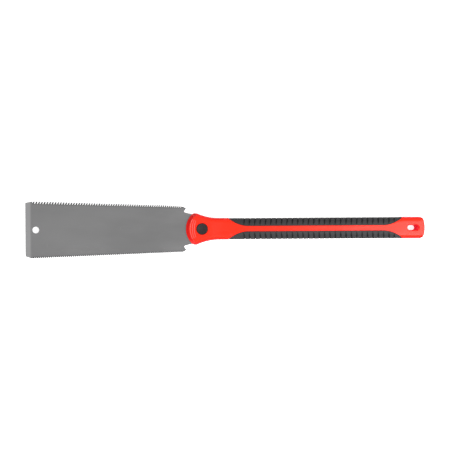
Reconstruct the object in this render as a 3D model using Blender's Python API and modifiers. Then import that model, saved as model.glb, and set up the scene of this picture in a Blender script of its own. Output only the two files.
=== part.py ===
"""A double-edged pull saw with a blade that is released by a push button.

The saw lies flat. The blade's plane is XY, the tip points to -X and the button faces +Z. Every
piece is drawn in the head's own coordinates: X runs back from the nose, Z up from the middle of
the blade's thickness. One empty then carries them all to the world, where the origin is the
middle of the saw's footprint on the surface it lies on.
"""
import math

import bmesh
import bpy
import numpy as np
from mathutils import Matrix, Vector
from mathutils.geometry import delaunay_2d_cdt

MM = 0.001

# Gaps between pieces
SEAT_GAP = 0.3 * MM
RUNNING_GAP = 0.5 * MM
CUT_OVERSHOOT = 2 * MM
ROOT_SINK = 0.8 * MM

# Handle, seen from above
HANDLE_LENGTH = 355.7 * MM
NOSE_RADIUS = 31 * MM
HEAD_WIDTH = 47.4 * MM
HEAD_CORNER_RADIUS = 8 * MM
NECK_START = 50 * MM
NECK_WIDTH = 32.4 * MM
BUTT_RADIUS = 44 * MM
BUTT_CORNER_RADIUS = 6.3 * MM
LEAST_CORNER_RADIUS = 1 * MM

# Handle, seen in section
HANDLE_THICKNESS = 22 * MM
WALL = 2.4 * MM
WALL_THICK_BEFORE_GRIP = 2.4 * MM
WALL_THICKENING_RUN = 4.8 * MM
NOSE_LIP_DEPTH = 5.5 * MM
NOSE_LIP_END = 9 * MM
HEAD_EDGE_DEPTH = 6.5 * MM
HEAD_ROUND_FROM = 23.6 * MM
HEAD_SIDE_HEIGHT = 3.5 * MM
GRIP_SIDE_HEIGHT = 2 * MM
BUTT_EDGE_DEPTH = 7 * MM
BUTT_END_DEPTH = 3.4 * MM
NECK_DIP = 1.1 * MM
SPINE_WIDTH = 8.3 * MM

# Rubber grips
GRIP_FRONT = 63 * MM
GRIP_REAR_FROM_BUTT = 33.5 * MM
GRIP_SWEEP = 30 * MM
GRIP_THICKNESS = 1.8 * MM
GRIP_SET_BACK = 0.4 * MM
GRIP_BLUNT_END = 1.5 * MM
GRIP_FLOOR_WALL = 2 * MM
GROOVE_PITCH = 7.95 * MM
GROOVE_DEPTH = 1 * MM
GROOVE_DEPTH_AT_SIDE = 0.5 * MM
GROOVE_WIDTH_AT_SPINE = 0.6 * MM
GROOVE_WIDTH_AT_SIDE = 2.4 * MM
GROOVE_LEAN = 1.4 * MM
GROOVES_BEHIND_FRONT = 22.9 * MM
GROOVES_AHEAD_OF_REAR = 12.6 * MM

# Raised arcs behind the nose lip
ARC_SPACING = 3 * MM
ARC_FIRST = 6.9 * MM
ARC_COUNT = 3
ARC_HALF_SPAN = 15 * MM
ARC_SPAN_STEP = 1.2 * MM
ARC_RADIUS = 0.65 * MM
ARC_HEIGHT = 0.55 * MM

# Hanging slot
SLOT_LENGTH = 16.6 * MM
SLOT_WIDTH = 7.4 * MM
SLOT_FROM_BUTT = 10.4 * MM
SLOT_RIM = 1.6 * MM
SLOT_WALL = 2 * MM

# Blade
BLADE_THICKNESS = 0.75 * MM
BLADE_REACH = 241 * MM
COARSE_TIP_HALF_WIDTH = 41.1 * MM
FINE_TIP_HALF_WIDTH = 39.7 * MM
LEAD_IN = 10.2 * MM
LEAD_IN_FACE = 0.5 * MM
FIRST_TOOTH_WIDTH = 85.8 * MM
LAST_TOOTH_WIDTH = 70 * MM
COARSE_PITCH_TIP = 4.2 * MM
COARSE_PITCH_HEEL = 3 * MM
COARSE_DEPTH_TIP = 3.3 * MM
COARSE_DEPTH_HEEL = 2.5 * MM
COARSE_SETBACK = 7.8 * MM
COARSE_TOOTH = ((0.42, 1), (0.8, 1), (0.52, 0))
FINE_PITCH = 3 * MM
FINE_DEPTH = 1.8 * MM
FINE_SETBACK = 5.2 * MM
FINE_TOOTH = ((0.34, 1), (0.64, 1), (0.86, 0))
TIP_HOLE_DIAMETER = 10 * MM
TIP_HOLE_INSET = 15.6 * MM
TIP_CORNER_RADIUS = 0.8 * MM

# Heel and tang
HEEL_SHOULDER_WIDTH = 68.4 * MM
HEEL_CORNER_WIDTH = 63.2 * MM
HEEL_CORNER_GAP = 0.1 * MM
HEEL_ROUNDING = 0.9 * MM
NOTCH_WIDTH = 53 * MM
NOTCH_DEPTH = 2.8 * MM
TANG_ROOT_WIDTH = 49.8 * MM
TANG_ROOT_GAP = 1.7 * MM
TANG_SLOPE = math.tan(math.radians(15))
TANG_SHOULDER = 11 * MM
TONGUE_WIDTH = 18 * MM
TONGUE_FILLET = 2 * MM
TONGUE_END = 41 * MM
TONGUE_CHAMFER = 2 * MM

# Button and its stem
BUTTON_FROM_NOSE = 24.5 * MM
BUTTON_DIAMETER = 16 * MM
BUTTON_TRAVEL = 2 * MM
BUTTON_PROUD = 0.8 * MM
BUTTON_DISH = 0.5 * MM
BUTTON_RIM = 1 * MM
BUTTON_EDGE = 0.5 * MM
BUTTON_WALL = 1.6 * MM
BUTTON_FLANGE = 1.2 * MM
STEM_DIAMETER = 5 * MM
STEM_CHAMFER = 0.5 * MM
SOCKET_WALL = 1.4 * MM

# Liners and rivets
LINER_THICKNESS = 1 * MM
LINER_FRONT = 9.5 * MM
LINER_NARROW_WIDTH = 21.4 * MM
LINER_WIDE_WIDTH = 26.4 * MM
LINER_WIDE_FROM = 28 * MM
LINER_TAPER = 3 * MM
LINER_BEHIND_STOP = 3.5 * MM
RIVET_DIAMETER = 2.5 * MM
RIVET_HEAD_DIAMETER = 4.8 * MM
RIVET_HEAD = 0.7 * MM
GUIDE_RIVETS_FROM_NOSE = 33 * MM
RIB_THICKNESS = 1.6 * MM
RIB_HALF_LENGTH = 12 * MM
FRONT_RIB_OPENING = 6 * MM
FRONT_RIB_FROM_NOSE = 12.6 * MM
REAR_RIB_FROM_NOSE = 38.4 * MM

# Leaf latch
LEAF_THICKNESS = 0.6 * MM
LEAF_WIDTH = 9 * MM
LEAF_REAR = 57 * MM
LEAF_FRONT = 10.5 * MM
CATCH_WIDTH = 5 * MM
CATCH_BACK = 17.3 * MM
CATCH_TOP_LENGTH = 1.5 * MM
LATCH_SCREW_FROM_NOSE = 53 * MM
LATCH_SCREW_LENGTH = 6 * MM

# Screws that join the shells
SCREW_DIAMETER = 2.7 * MM
SCREW_HEAD_DIAMETER = 5.6 * MM
SCREW_HEAD = 2 * MM
SCREW_LENGTH = 12 * MM
SCREW_POINT = 1 * MM
SCREW_EDGE = 0.4 * MM
SCREW_HEAD_SINK = 4 * MM
RECESS_WIDTH = 0.8 * MM
RECESS_LENGTH = 3.2 * MM
RECESS_DEPTH = 1.2 * MM
BOSS_WALL = 1.75 * MM
HEAD_SCREWS_FROM_NOSE = 20 * MM
HEAD_SCREWS_APART = 29.2 * MM
NECK_SCREW_FROM_NOSE = 67 * MM
REAR_SCREW_FROM_BUTT = 42 * MM

# Facets
NOSE_STEPS = 7
CORNER_STEPS = 4
FLARE_STEPS = 6
SWEEP_STEPS = 6
GRIP_END_STEPS = 8
GRIP_END_BUNCHING = 1.5
DISH_STEPS = 3
EDGE_STEPS = 5
ROUND_SIDES = 28
SMALL_ROUND_SIDES = 16
LEAST_STEP = 0.00001
WELD_DISTANCE = 0.001 * MM

# Sizes that follow from the ones above
HALF_THICKNESS = HANDLE_THICKNESS / 2
HEAD_HALF = HEAD_WIDTH / 2
NECK_HALF = NECK_WIDTH / 2
SPINE_HALF = SPINE_WIDTH / 2
GRIP_REAR = HANDLE_LENGTH - GRIP_REAR_FROM_BUTT
PARTING = SEAT_GAP / 2
GRIP_EDGE_DEPTH = NECK_HALF - SPINE_HALF + SEAT_GAP
GRIP_POCKET = GRIP_SET_BACK + GRIP_THICKNESS + SEAT_GAP
GRIP_WALL = GRIP_POCKET + GRIP_FLOOR_WALL
THICK_FROM = GRIP_FRONT - WALL_THICK_BEFORE_GRIP
THICK_TO = GRIP_REAR + WALL_THICK_BEFORE_GRIP
THICKENING_FROM = THICK_FROM - WALL_THICKENING_RUN
THINNING_TO = THICK_TO + WALL_THICKENING_RUN
BLADE_HALF = BLADE_THICKNESS / 2
LINER_INNER = BLADE_HALF + SEAT_GAP
LINER_OUTER = LINER_INNER + LINER_THICKNESS
LEAF_TOP = -LINER_OUTER - RIVET_HEAD - 2 * SEAT_GAP
LEAF_MIDDLE = LEAF_TOP - LEAF_THICKNESS / 2
LEAF_BOTTOM = LEAF_TOP - LEAF_THICKNESS
CATCH_MIDDLE = BLADE_HALF - LEAF_THICKNESS / 2
STEM_ROOM = STEM_DIAMETER / 2 + RUNNING_GAP
GUIDE_RIVET_Y = TONGUE_WIDTH / 2 + RUNNING_GAP + RIVET_DIAMETER / 2
STOP_RIVET_FROM_NOSE = TONGUE_END + SEAT_GAP + RIVET_DIAMETER / 2
SLOT_MIDDLE = HANDLE_LENGTH - SLOT_FROM_BUTT - SLOT_LENGTH / 2
REAR_SCREW_FROM_NOSE = HANDLE_LENGTH - REAR_SCREW_FROM_BUTT
MIDDLE_SCREW_FROM_NOSE = (NECK_SCREW_FROM_NOSE + REAR_SCREW_FROM_NOSE) / 2
SCREW_SEAT = -HALF_THICKNESS + SCREW_HEAD_SINK + SCREW_HEAD
WORLD_SHIFT = ((BLADE_REACH - HANDLE_LENGTH) / 2, 0, HALF_THICKNESS)


# Scene, materials and objects
def clear_scene():
    """Remove every object that the file opened with."""
    for thing in list(bpy.data.objects):
        bpy.data.objects.remove(thing)


def new_collection(name):
    """A new collection in the scene."""
    collection = bpy.data.collections.new(name)
    bpy.context.scene.collection.children.link(collection)
    return collection


def new_material(name, color, roughness, metallic=0.0):
    """A Principled material with one plain finish."""
    material = bpy.data.materials.new(name)
    material.use_nodes = True
    shader = material.node_tree.nodes["Principled BSDF"]
    shader.inputs["Base Color"].default_value = (*color, 1)
    shader.inputs["Roughness"].default_value = roughness
    shader.inputs["Metallic"].default_value = metallic
    return material


class Workshop:
    """Holds the collections, the carrying empty and the materials."""

    def __init__(self):
        self.parts = new_collection("japanese_saw")
        self.tools = new_collection("cutters")
        self.carrier = bpy.data.objects.new("saw_carrier", None)
        self.carrier.location = WORLD_SHIFT
        self.parts.objects.link(self.carrier)
        self.red = (0.90, 0.045, 0.02)
        self.rubber = (0.045, 0.047, 0.05)
        self.steel = (0.45, 0.46, 0.47)

    def place(self, name, mesh, at=(0, 0, 0)):
        """Make a part object on the carrier."""
        part = bpy.data.objects.new(name, mesh)
        part.location = at
        part.parent = self.carrier
        self.parts.objects.link(part)
        return part

    def tool(self, name, mesh, at=(0, 0, 0)):
        """Make a cutter or an addition that a Boolean reads."""
        tool = bpy.data.objects.new(name, mesh)
        tool.location = at
        tool.parent = self.carrier
        tool.hide_render = True
        tool.display_type = "WIRE"
        self.tools.objects.link(tool)
        return tool


def finish(part, color, roughness, metallic=0.0, smooth_below=35):
    """Give a part its own material and smooth its round faces."""
    part.data.materials.clear()
    part.data.materials.append(new_material(part.name + "_finish", color, roughness, metallic))
    part.data.shade_smooth()
    part.data.set_sharp_from_angle(angle=math.radians(smooth_below))


def boolean(part, operation, tools):
    """Join each tool to the part, or cut it away."""
    for tool in tools:
        modifier = part.modifiers.new(operation.lower() + "_" + tool.name, "BOOLEAN")
        modifier.operation = operation
        modifier.solver = "EXACT"
        modifier.object = tool


def evaluated_mesh(thing):
    """The mesh of an object with its modifiers applied, welded."""
    bpy.context.view_layer.update()
    graph = bpy.context.evaluated_depsgraph_get()
    mesh = bpy.data.meshes.new_from_object(thing.evaluated_get(graph))
    weld(mesh)
    return mesh


def weld(mesh):
    """Merge points that coincide and turn all faces outwards."""
    work = bmesh.new()
    work.from_mesh(mesh)
    bmesh.ops.remove_doubles(work, verts=work.verts, dist=WELD_DISTANCE)
    bmesh.ops.recalc_face_normals(work, faces=work.faces)
    work.to_mesh(mesh)
    work.free()


# Shapes
def loft(name, loops, capped=True):
    """A closed mesh through loops of points, an array of stations by points by 3."""
    stations, points = loops.shape[:2]
    index = np.arange(stations * points).reshape(stations, points)
    ahead = np.roll(index, -1, axis=1)
    quads = np.stack([index[:-1], ahead[:-1], ahead[1:], index[1:]], axis=-1)
    faces = quads.reshape(-1, 4).tolist()
    if capped:
        faces += [index[0].tolist(), index[-1].tolist()]
    mesh = bpy.data.meshes.new(name)
    mesh.from_pydata(loops.reshape(-1, 3).tolist(), [], faces)
    weld(mesh)
    return mesh


def leftward(outline):
    """The outline in the order that runs anticlockwise."""
    x, y = np.array(outline).T
    area = np.sum(x * np.roll(y, -1) - y * np.roll(x, -1))
    return list(outline) if area > 0 else list(reversed(outline))


def plate(name, outlines, low, high):
    """A flat plate between two heights. The first outline is its edge, the others are holes.

    The flat faces are a constrained triangulation, worked out in millimetres. Of its triangles
    those stay that lie in the edge alone and in no hole. Walls join the two faces.
    """
    outlines = [leftward(outline) for outline in outlines]
    corners = [Vector((x / MM, y / MM)) for outline in outlines for x, y in outline]
    ends = np.cumsum([0] + [len(outline) for outline in outlines])
    rings = [list(range(start, end)) for start, end in zip(ends[:-1], ends[1:])]
    filled = delaunay_2d_cdt(corners, [], rings, 0, LEAST_STEP, True)
    kept = [face for face, inside in zip(filled[2], filled[5]) if list(inside) == [0]]
    flat = [(x * MM, y * MM) for x, y in filled[0]]
    total = len(flat)
    points = [(x, y, low) for x, y in flat] + [(x, y, high) for x, y in flat]
    faces = [list(face) for face in kept]
    faces += [[corner + total for corner in face] for face in kept]
    for ring in rings:
        for here, ahead in zip(ring, ring[1:] + ring[:1]):
            faces.append([here, ahead, ahead + total, here + total])
    mesh = bpy.data.meshes.new(name)
    mesh.from_pydata(points, [], faces)
    weld(mesh)
    return mesh


def turned(name, profile, sides):
    """A solid turned about Z from a profile of radius and height that runs down its outer side."""
    mesh = bpy.data.meshes.new(name)
    corners = [(radius, 0, height) for radius, height in profile]
    mesh.from_pydata(corners, [(i, i + 1) for i in range(len(corners) - 1)], [])
    holder = bpy.data.objects.new(name, mesh)
    bpy.context.scene.collection.objects.link(holder)
    screw = holder.modifiers.new("turn", "SCREW")
    screw.steps = sides
    screw.render_steps = sides
    screw.use_merge_vertices = True
    screw.merge_threshold = WELD_DISTANCE
    result = evaluated_mesh(holder)
    bpy.data.objects.remove(holder)
    return result


def cylinder(name, radius, low, high, sides=SMALL_ROUND_SIDES):
    """A plain round bar along Z, half a facet round from where a turned shape has its corners."""
    place = Matrix.Translation((0, 0, (low + high) / 2)) @ Matrix.Rotation(math.pi / sides, 4, "Z")
    mesh = bpy.data.meshes.new(name)
    work = bmesh.new()
    bmesh.ops.create_cone(work, cap_ends=True, segments=sides, radius1=radius, radius2=radius,
                          depth=high - low, matrix=place)
    work.to_mesh(mesh)
    work.free()
    return mesh


def block(name, low, high):
    """A box between two corners."""
    mesh = bpy.data.meshes.new(name)
    work = bmesh.new()
    bmesh.ops.create_cube(work, size=1)
    low = np.array(low)
    high = np.array(high)
    bmesh.ops.scale(work, vec=high - low, verts=work.verts)
    bmesh.ops.translate(work, vec=(low + high) / 2, verts=work.verts)
    work.to_mesh(mesh)
    work.free()
    return mesh


def stadium(length, width):
    """The outline of a slot with round ends, about the origin."""
    radius = width / 2
    straight = length / 2 - radius
    angles = np.linspace(-math.pi / 2, math.pi / 2, SMALL_ROUND_SIDES // 2 + 1)
    right = np.stack([straight + radius * np.cos(angles), radius * np.sin(angles)], axis=1)
    return np.concatenate([right, -right]).tolist()


def circle(x, y, radius, sides=ROUND_SIDES):
    """A round outline."""
    angles = np.arange(sides) * 2 * math.pi / sides
    return np.stack([x + radius * np.cos(angles), y + radius * np.sin(angles)], axis=1).tolist()


def mirrored(outline):
    """An outline closed by its own mirror image in Y."""
    return outline + [(x, -y) for x, y in reversed(outline)]


def ramp(value, start, end):
    """0 before start, 1 after end, and a smooth rise between them."""
    share = np.clip((value - start) / (end - start), 0, 1)
    return share * share * (3 - 2 * share)


# Handle surface
def straight_stations():
    """Distances from the nose along the handle's parallel stretch."""
    sweep_end = GRIP_FRONT + GRIP_SWEEP
    sweep_start = GRIP_REAR - GRIP_SWEEP
    return np.concatenate([
        np.linspace(NECK_START, THICKENING_FROM, 3)[1:],
        np.linspace(THICK_FROM, sweep_end, SWEEP_STEPS),
        np.linspace(sweep_start, THICK_TO, SWEEP_STEPS),
        [THINNING_TO],
    ])


def nose_corner(inset):
    """The head's corner circle and the flare behind it: centres, radii and end angles."""
    radius = np.maximum(HEAD_CORNER_RADIUS - inset, LEAST_CORNER_RADIUS)
    centre_y = HEAD_HALF - inset - radius
    reach = NOSE_RADIUS - inset - radius
    centre_x = NOSE_RADIUS - np.sqrt(reach ** 2 - centre_y ** 2)
    first = np.arctan2(centre_y, NOSE_RADIUS - centre_x)
    run = NECK_START - centre_x
    drop = NECK_HALF - inset - centre_y
    flare = (run ** 2 + drop ** 2 - radius ** 2) / (2 * (radius - drop))
    last = math.pi - np.arctan2(drop + flare, run)
    return radius, centre_x, centre_y, first, last, flare


def butt_corner(inset):
    """The butt's corner circle: radius, centre and the angle where the end arc begins."""
    radius = np.maximum(BUTT_CORNER_RADIUS - inset, LEAST_CORNER_RADIUS)
    end_centre = HANDLE_LENGTH - BUTT_RADIUS
    centre_y = NECK_HALF - inset - radius
    reach = BUTT_RADIUS - inset - radius
    centre_x = end_centre + np.sqrt(reach ** 2 - centre_y ** 2)
    return radius, centre_x, centre_y, np.arctan2(centre_y, centre_x - end_centre)


def plan_outline(inset):
    """Half the handle's outline, nose to butt, each station pushed inwards by its own inset.

    An angle is that of the outward normal: 0 at the nose, a right angle along the side.
    """
    straight = straight_stations()
    counts = [NOSE_STEPS, CORNER_STEPS, FLARE_STEPS, len(straight) + 1, CORNER_STEPS, NOSE_STEPS]
    inset = np.broadcast_to(inset, sum(counts))
    parts = np.split(inset, np.cumsum(counts)[:-1])
    square = math.pi / 2

    share = np.arange(NOSE_STEPS) / NOSE_STEPS
    angle = nose_corner(parts[0])[3] * share
    radius = NOSE_RADIUS - parts[0]
    nose = (NOSE_RADIUS - radius * np.cos(angle), radius * np.sin(angle))

    share = np.arange(CORNER_STEPS) / CORNER_STEPS
    radius, centre_x, centre_y, first, last, _ = nose_corner(parts[1])
    angle = first + (last - first) * share
    corner = (centre_x - radius * np.cos(angle), centre_y + radius * np.sin(angle))

    share = np.arange(FLARE_STEPS) / FLARE_STEPS
    _, _, _, _, last, flare = nose_corner(parts[2])
    angle = last + (square - last) * share
    neck_half = NECK_HALF - parts[2]
    waist = (NECK_START + flare * np.cos(angle), neck_half + flare * (1 - np.sin(angle)))

    side = (np.concatenate([[NECK_START], straight]), NECK_HALF - parts[3])

    share = np.arange(CORNER_STEPS) / CORNER_STEPS
    radius, centre_x, centre_y, last = butt_corner(parts[4])
    angle = square + (last - square) * share
    heel = (centre_x + radius * np.cos(angle), centre_y + radius * np.sin(angle))

    share = 1 - np.arange(NOSE_STEPS) / (NOSE_STEPS - 1)
    angle = butt_corner(parts[5])[3] * share
    radius = BUTT_RADIUS - parts[5]
    end = (HANDLE_LENGTH - BUTT_RADIUS + radius * np.cos(angle), radius * np.sin(angle))

    runs = [nose, corner, waist, side, heel, end]
    return np.stack([np.concatenate([run[axis] for run in runs]) for axis in (0, 1)], axis=1)


def grip_share(x):
    """1 along the grips, 0 at the head and the butt."""
    rise = ramp(x, NECK_START, GRIP_FRONT + GRIP_SWEEP)
    return rise * (1 - ramp(x, GRIP_REAR - GRIP_SWEEP, GRIP_REAR + GRIP_BLUNT_END))


def edge_depth(x):
    """How far in from the outline the rounded edge reaches."""
    head = NOSE_LIP_DEPTH + (HEAD_EDGE_DEPTH - NOSE_LIP_DEPTH) * ramp(x, NOSE_LIP_END, HEAD_ROUND_FROM)
    corner = HANDLE_LENGTH - BUTT_CORNER_RADIUS
    fall = ramp(x, corner, corner + BUTT_CORNER_RADIUS / 2)
    butt = BUTT_EDGE_DEPTH + (BUTT_END_DEPTH - BUTT_EDGE_DEPTH) * fall
    plain = np.where(x < HANDLE_LENGTH / 2, head, butt)
    return plain + (GRIP_EDGE_DEPTH - plain) * grip_share(x)


def edge_power(x):
    """1 gives the flat slanted lip of the nose, 2 the round edge everywhere else."""
    return 1 + ramp(x, NOSE_LIP_END, HEAD_ROUND_FROM)


def side_height(x):
    """Height of the upright side above the blade's middle plane."""
    return HEAD_SIDE_HEIGHT + (GRIP_SIDE_HEIGHT - HEAD_SIDE_HEIGHT) * grip_share(x)


def top_height(x):
    """Height of the flat top above the blade's middle plane, lower at the neck."""
    flat_to = BUTTON_FROM_NOSE + BUTTON_DIAMETER / 2 + 2 * BUTTON_FLANGE
    fall = ramp(x, flat_to, THICKENING_FROM)
    return HALF_THICKNESS - NECK_DIP * fall * (1 - ramp(x, GRIP_FRONT, GRIP_FRONT + GRIP_SWEEP))


def wall_thickness(x):
    """Wall of the shells, thicker under the grips' pockets."""
    rise = ramp(x, THICKENING_FROM, THICK_FROM)
    fall = ramp(x, THICK_TO, THINNING_TO)
    return WALL + (GRIP_WALL - WALL) * rise * (1 - fall)


def handle_skin(wall, steps):
    """Points of one side of a shell's skin, a wall in from the outside, parting line to top."""
    x = plan_outline(0)[:, 0]
    depth = edge_depth(x) - wall
    rise = top_height(x) - side_height(x) - wall
    power = edge_power(x)
    rows = []
    for turn in np.linspace(0, math.pi / 2, steps + 1):
        share = 1 - math.cos(turn)
        height = side_height(x) + rise * (1 - (1 - share) ** power) ** (1 / power)
        plan = plan_outline(wall + depth * share)
        rows.append(np.column_stack([plan, height]))
    foot = rows[0].copy()
    foot[:, 2] = PARTING
    return np.stack([foot, *rows], axis=1)


def shell_mesh(name, side):
    """One hollow half of the handle, above (side 1) or below (side -1) the blade."""
    x = plan_outline(0)[:, 0]
    outer = handle_skin(np.zeros_like(x), EDGE_STEPS)
    inner = handle_skin(wall_thickness(x), EDGE_STEPS - 1)
    flip = np.array([1, -1, 1])
    over = np.concatenate([outer, outer[:, ::-1] * flip], axis=1)
    under = np.concatenate([inner, inner[:, ::-1] * flip], axis=1)
    loops = np.concatenate([over, under[:, ::-1]], axis=1)
    return loft(name, loops * np.array([1, 1, side]), capped=False)


# Rubber grips
def spine_edge(x):
    """Half the width of the red between two grips."""
    front = np.clip(1 - (x - GRIP_FRONT) / GRIP_SWEEP, 0, 1)
    rear = np.clip(1 - (GRIP_REAR - x) / GRIP_SWEEP, 0, 1)
    return SPINE_HALF + (NECK_HALF - SPINE_HALF) * np.maximum(front, rear) ** 2


def groove_places():
    """Middles of the grooves."""
    first = GRIP_FRONT + GROOVES_BEHIND_FRONT
    last = GRIP_REAR - GROOVES_AHEAD_OF_REAR
    count = int((last - first) / GROOVE_PITCH) + 1
    return first + GROOVE_PITCH * np.arange(count)


def groove_depth(share):
    """Depth of a groove's bottom: none at the spine, full between, less at the parting line."""
    depths = (0, GROOVE_DEPTH, GROOVE_DEPTH, GROOVE_DEPTH_AT_SIDE)
    return np.interp(share, np.linspace(0, 1, len(depths)), depths)


def grip_section(x, spread, edge_gap, shell_gap, proud, foot):
    """A grip's section loops at stations x, as an array of stations by points by 3.

    spread is each station's share of a groove's half width: -1 and 1 are its rims, 0 its bottom,
    and other stations have no groove. Point 0 of a loop is at the spine and the last outer point
    at the parting line; the inner points run back.
    """
    spine = spine_edge(x) - edge_gap
    depth = edge_depth(x)
    rise = top_height(x) - side_height(x)
    start = np.arccos(np.clip(1 - (NECK_HALF - spine) / depth, 0, 1))

    def ring(shares, offset, grooved):
        points = []
        for share in shares:
            turn = start * (1 - share)
            y = NECK_HALF - depth * (1 - np.cos(turn))
            z = side_height(x) + rise * np.sin(turn)
            normal = np.stack([np.cos(turn) / depth, np.sin(turn) / rise])
            normal = normal / np.linalg.norm(normal, axis=0)
            half = (GROOVE_WIDTH_AT_SPINE + (GROOVE_WIDTH_AT_SIDE - GROOVE_WIDTH_AT_SPINE) * share) / 2
            is_groove = np.isfinite(spread)
            shift = np.where(is_groove, np.nan_to_num(spread) * half + GROOVE_LEAN * share, 0)
            sunk = np.where(spread == 0, groove_depth(share), 0) * grooved
            inward = offset + sunk
            points.append(np.stack([x + shift, y - normal[0] * inward, z - normal[1] * inward], axis=1))
        low = points[-1].copy()
        low[:, 2] = foot
        return [*points, low]

    outer = ring(np.linspace(0, 1, 4), -proud, True)
    inner = ring(np.linspace(0, 1, 3), shell_gap, False)
    return np.stack([*outer, *reversed(inner)], axis=1)


def sweep_stations():
    """Plain stations at the front and the rear end of a grip, where its edge sweeps outwards."""
    places = groove_places()
    front = GRIP_FRONT + GRIP_BLUNT_END
    rear = GRIP_REAR - GRIP_BLUNT_END
    bunch = np.linspace(0, 1, GRIP_END_STEPS) ** GRIP_END_BUNCHING
    lead = front + (places[0] - GROOVE_PITCH / 2 - front) * bunch
    tail = rear - (rear - places[-1] - GROOVE_PITCH / 2) * bunch[::-1]
    return lead, tail


def grip_loops():
    """The rubber itself: groove rims and bottoms along the handle, plain stations at its ends."""
    places = groove_places()
    lead, tail = sweep_stations()
    x = np.concatenate([lead, np.repeat(places, 3), tail])
    spread = np.concatenate([
        np.full(len(lead), np.nan), np.tile([-1.0, 0.0, 1.0], len(places)), np.full(len(tail), np.nan)])
    return grip_section(x, spread, 0, GRIP_SET_BACK + GRIP_THICKNESS, -GRIP_SET_BACK, PARTING)


def pocket_loops():
    """The pocket that the rubber fills, wider by the seat gap and open outwards."""
    lead, tail = sweep_stations()
    places = groove_places()
    front_sweep = places[places < GRIP_FRONT + GRIP_SWEEP + GROOVE_PITCH]
    rear_sweep = places[places > GRIP_REAR - GRIP_SWEEP - GROOVE_PITCH]
    x = np.concatenate([
        [lead[0] - SEAT_GAP], lead[1:], front_sweep, rear_sweep, tail[:-1], [tail[-1] + SEAT_GAP]])
    plain = np.full(len(x), np.nan)
    return grip_section(x, plain, SEAT_GAP, GRIP_POCKET, CUT_OVERSHOOT, -CUT_OVERSHOOT)


# Blade
def tooth_edge(form, depths, pitches, setback):
    """Points of one toothed edge, from the lead-in to the heel's shoulder.

    A tooth starts at the bottom of a gullet. Its form gives each further point as a share of the
    pitch towards the handle and a share of the depth towards the tip line. Depths and pitches
    are those at the first and the last tooth.
    """
    start = -BLADE_REACH + LEAD_IN
    length = BLADE_REACH - LEAD_IN - setback
    count = round(2 * length / sum(pitches))
    share = np.arange(count + 1) / count
    change = (pitches[1] - pitches[0]) / sum(pitches)
    roots = start + LEAD_IN_FACE + length * (share * (1 - change) + share ** 2 * change)
    along = np.array([(0, 0), *form])
    x = roots[:-1, None] + np.diff(roots)[:, None] * along[:, 0]
    ends = [start, start + length]
    tip_line = np.interp(x, ends, [FIRST_TOOTH_WIDTH / 2, LAST_TOOTH_WIDTH / 2])
    y = tip_line - np.interp(x, ends, depths) * (1 - along[:, 1])
    teeth = np.stack([x, y], axis=-1).reshape(-1, 2).tolist()
    last_root = (float(roots[-1]), teeth[-1][1])
    shoulder = (float(roots[-1]) + LEAD_IN_FACE, HEEL_SHOULDER_WIDTH / 2)
    return [(start, FIRST_TOOTH_WIDTH / 2), *teeth, last_root, shoulder]


def tip_corner(half_width):
    """The rounded corner where the tip edge meets the lead-in."""
    centre = (-BLADE_REACH + TIP_CORNER_RADIUS, half_width - TIP_CORNER_RADIUS)
    lead_in_angle = math.atan2(FIRST_TOOTH_WIDTH / 2 - half_width, LEAD_IN)
    angles = np.linspace(math.pi, math.pi / 2 + lead_in_angle, CORNER_STEPS)
    return [(centre[0] + TIP_CORNER_RADIUS * math.cos(a), centre[1] + TIP_CORNER_RADIUS * math.sin(a))
            for a in angles]


def tang_half_width(x):
    """Half the width of the tang's wedge at a distance behind the nose."""
    return TANG_ROOT_WIDTH / 2 - TANG_SLOPE * (x + TANG_ROOT_GAP)


def heel_and_tang():
    """Half outline from the heel's corner to the slot in the tang's rear end."""
    corner = (-HEEL_CORNER_GAP, HEEL_CORNER_WIDTH / 2)
    notch = (-NOTCH_DEPTH, NOTCH_WIDTH / 2)
    root = (-TANG_ROOT_GAP, TANG_ROOT_WIDTH / 2)
    shoulder = (TANG_SHOULDER, tang_half_width(TANG_SHOULDER))
    tongue = TONGUE_WIDTH / 2
    return [
        (corner[0] - HEEL_ROUNDING, corner[1] + HEEL_ROUNDING * math.sin(math.pi / 4)),
        corner,
        (corner[0], corner[1] - HEEL_ROUNDING),
        (notch[0], notch[1] + HEEL_ROUNDING / 2),
        (notch[0], notch[1] - HEEL_ROUNDING / 2),
        root,
        shoulder,
        (shoulder[0] + TONGUE_FILLET / 2, tongue + TONGUE_FILLET),
        (shoulder[0] + TONGUE_FILLET, tongue),
        (TONGUE_END - TONGUE_CHAMFER, tongue),
        (TONGUE_END, tongue - TONGUE_CHAMFER),
        (TONGUE_END, STEM_ROOM),
    ]


def stem_slot_end():
    """The round closed end of the slot that the stem stands in, as half an outline."""
    angles = np.linspace(math.pi / 2, math.pi, CORNER_STEPS + 1)[:-1]
    return [(BUTTON_FROM_NOSE + STEM_ROOM * math.cos(a), STEM_ROOM * math.sin(a)) for a in angles]


def catch_ramp_x(height):
    """Where the upper face of the catch's ramp stands at a height."""
    run = CATCH_BACK - LEAF_THICKNESS - CATCH_TOP_LENGTH - LEAF_FRONT
    slope = run / (CATCH_MIDDLE - LEAF_MIDDLE)
    lift = LEAF_THICKNESS / 2 * math.hypot(1, slope)
    return LEAF_FRONT + (height - LEAF_MIDDLE) * slope - lift


def catch_window(height):
    """The window that the catch stands in, in a plate whose lowest face is at a height."""
    front = catch_ramp_x(height) - RUNNING_GAP
    back = CATCH_BACK + SEAT_GAP
    half = CATCH_WIDTH / 2 + RUNNING_GAP
    return [(front, -half), (back, -half), (back, half), (front, half)]


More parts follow.
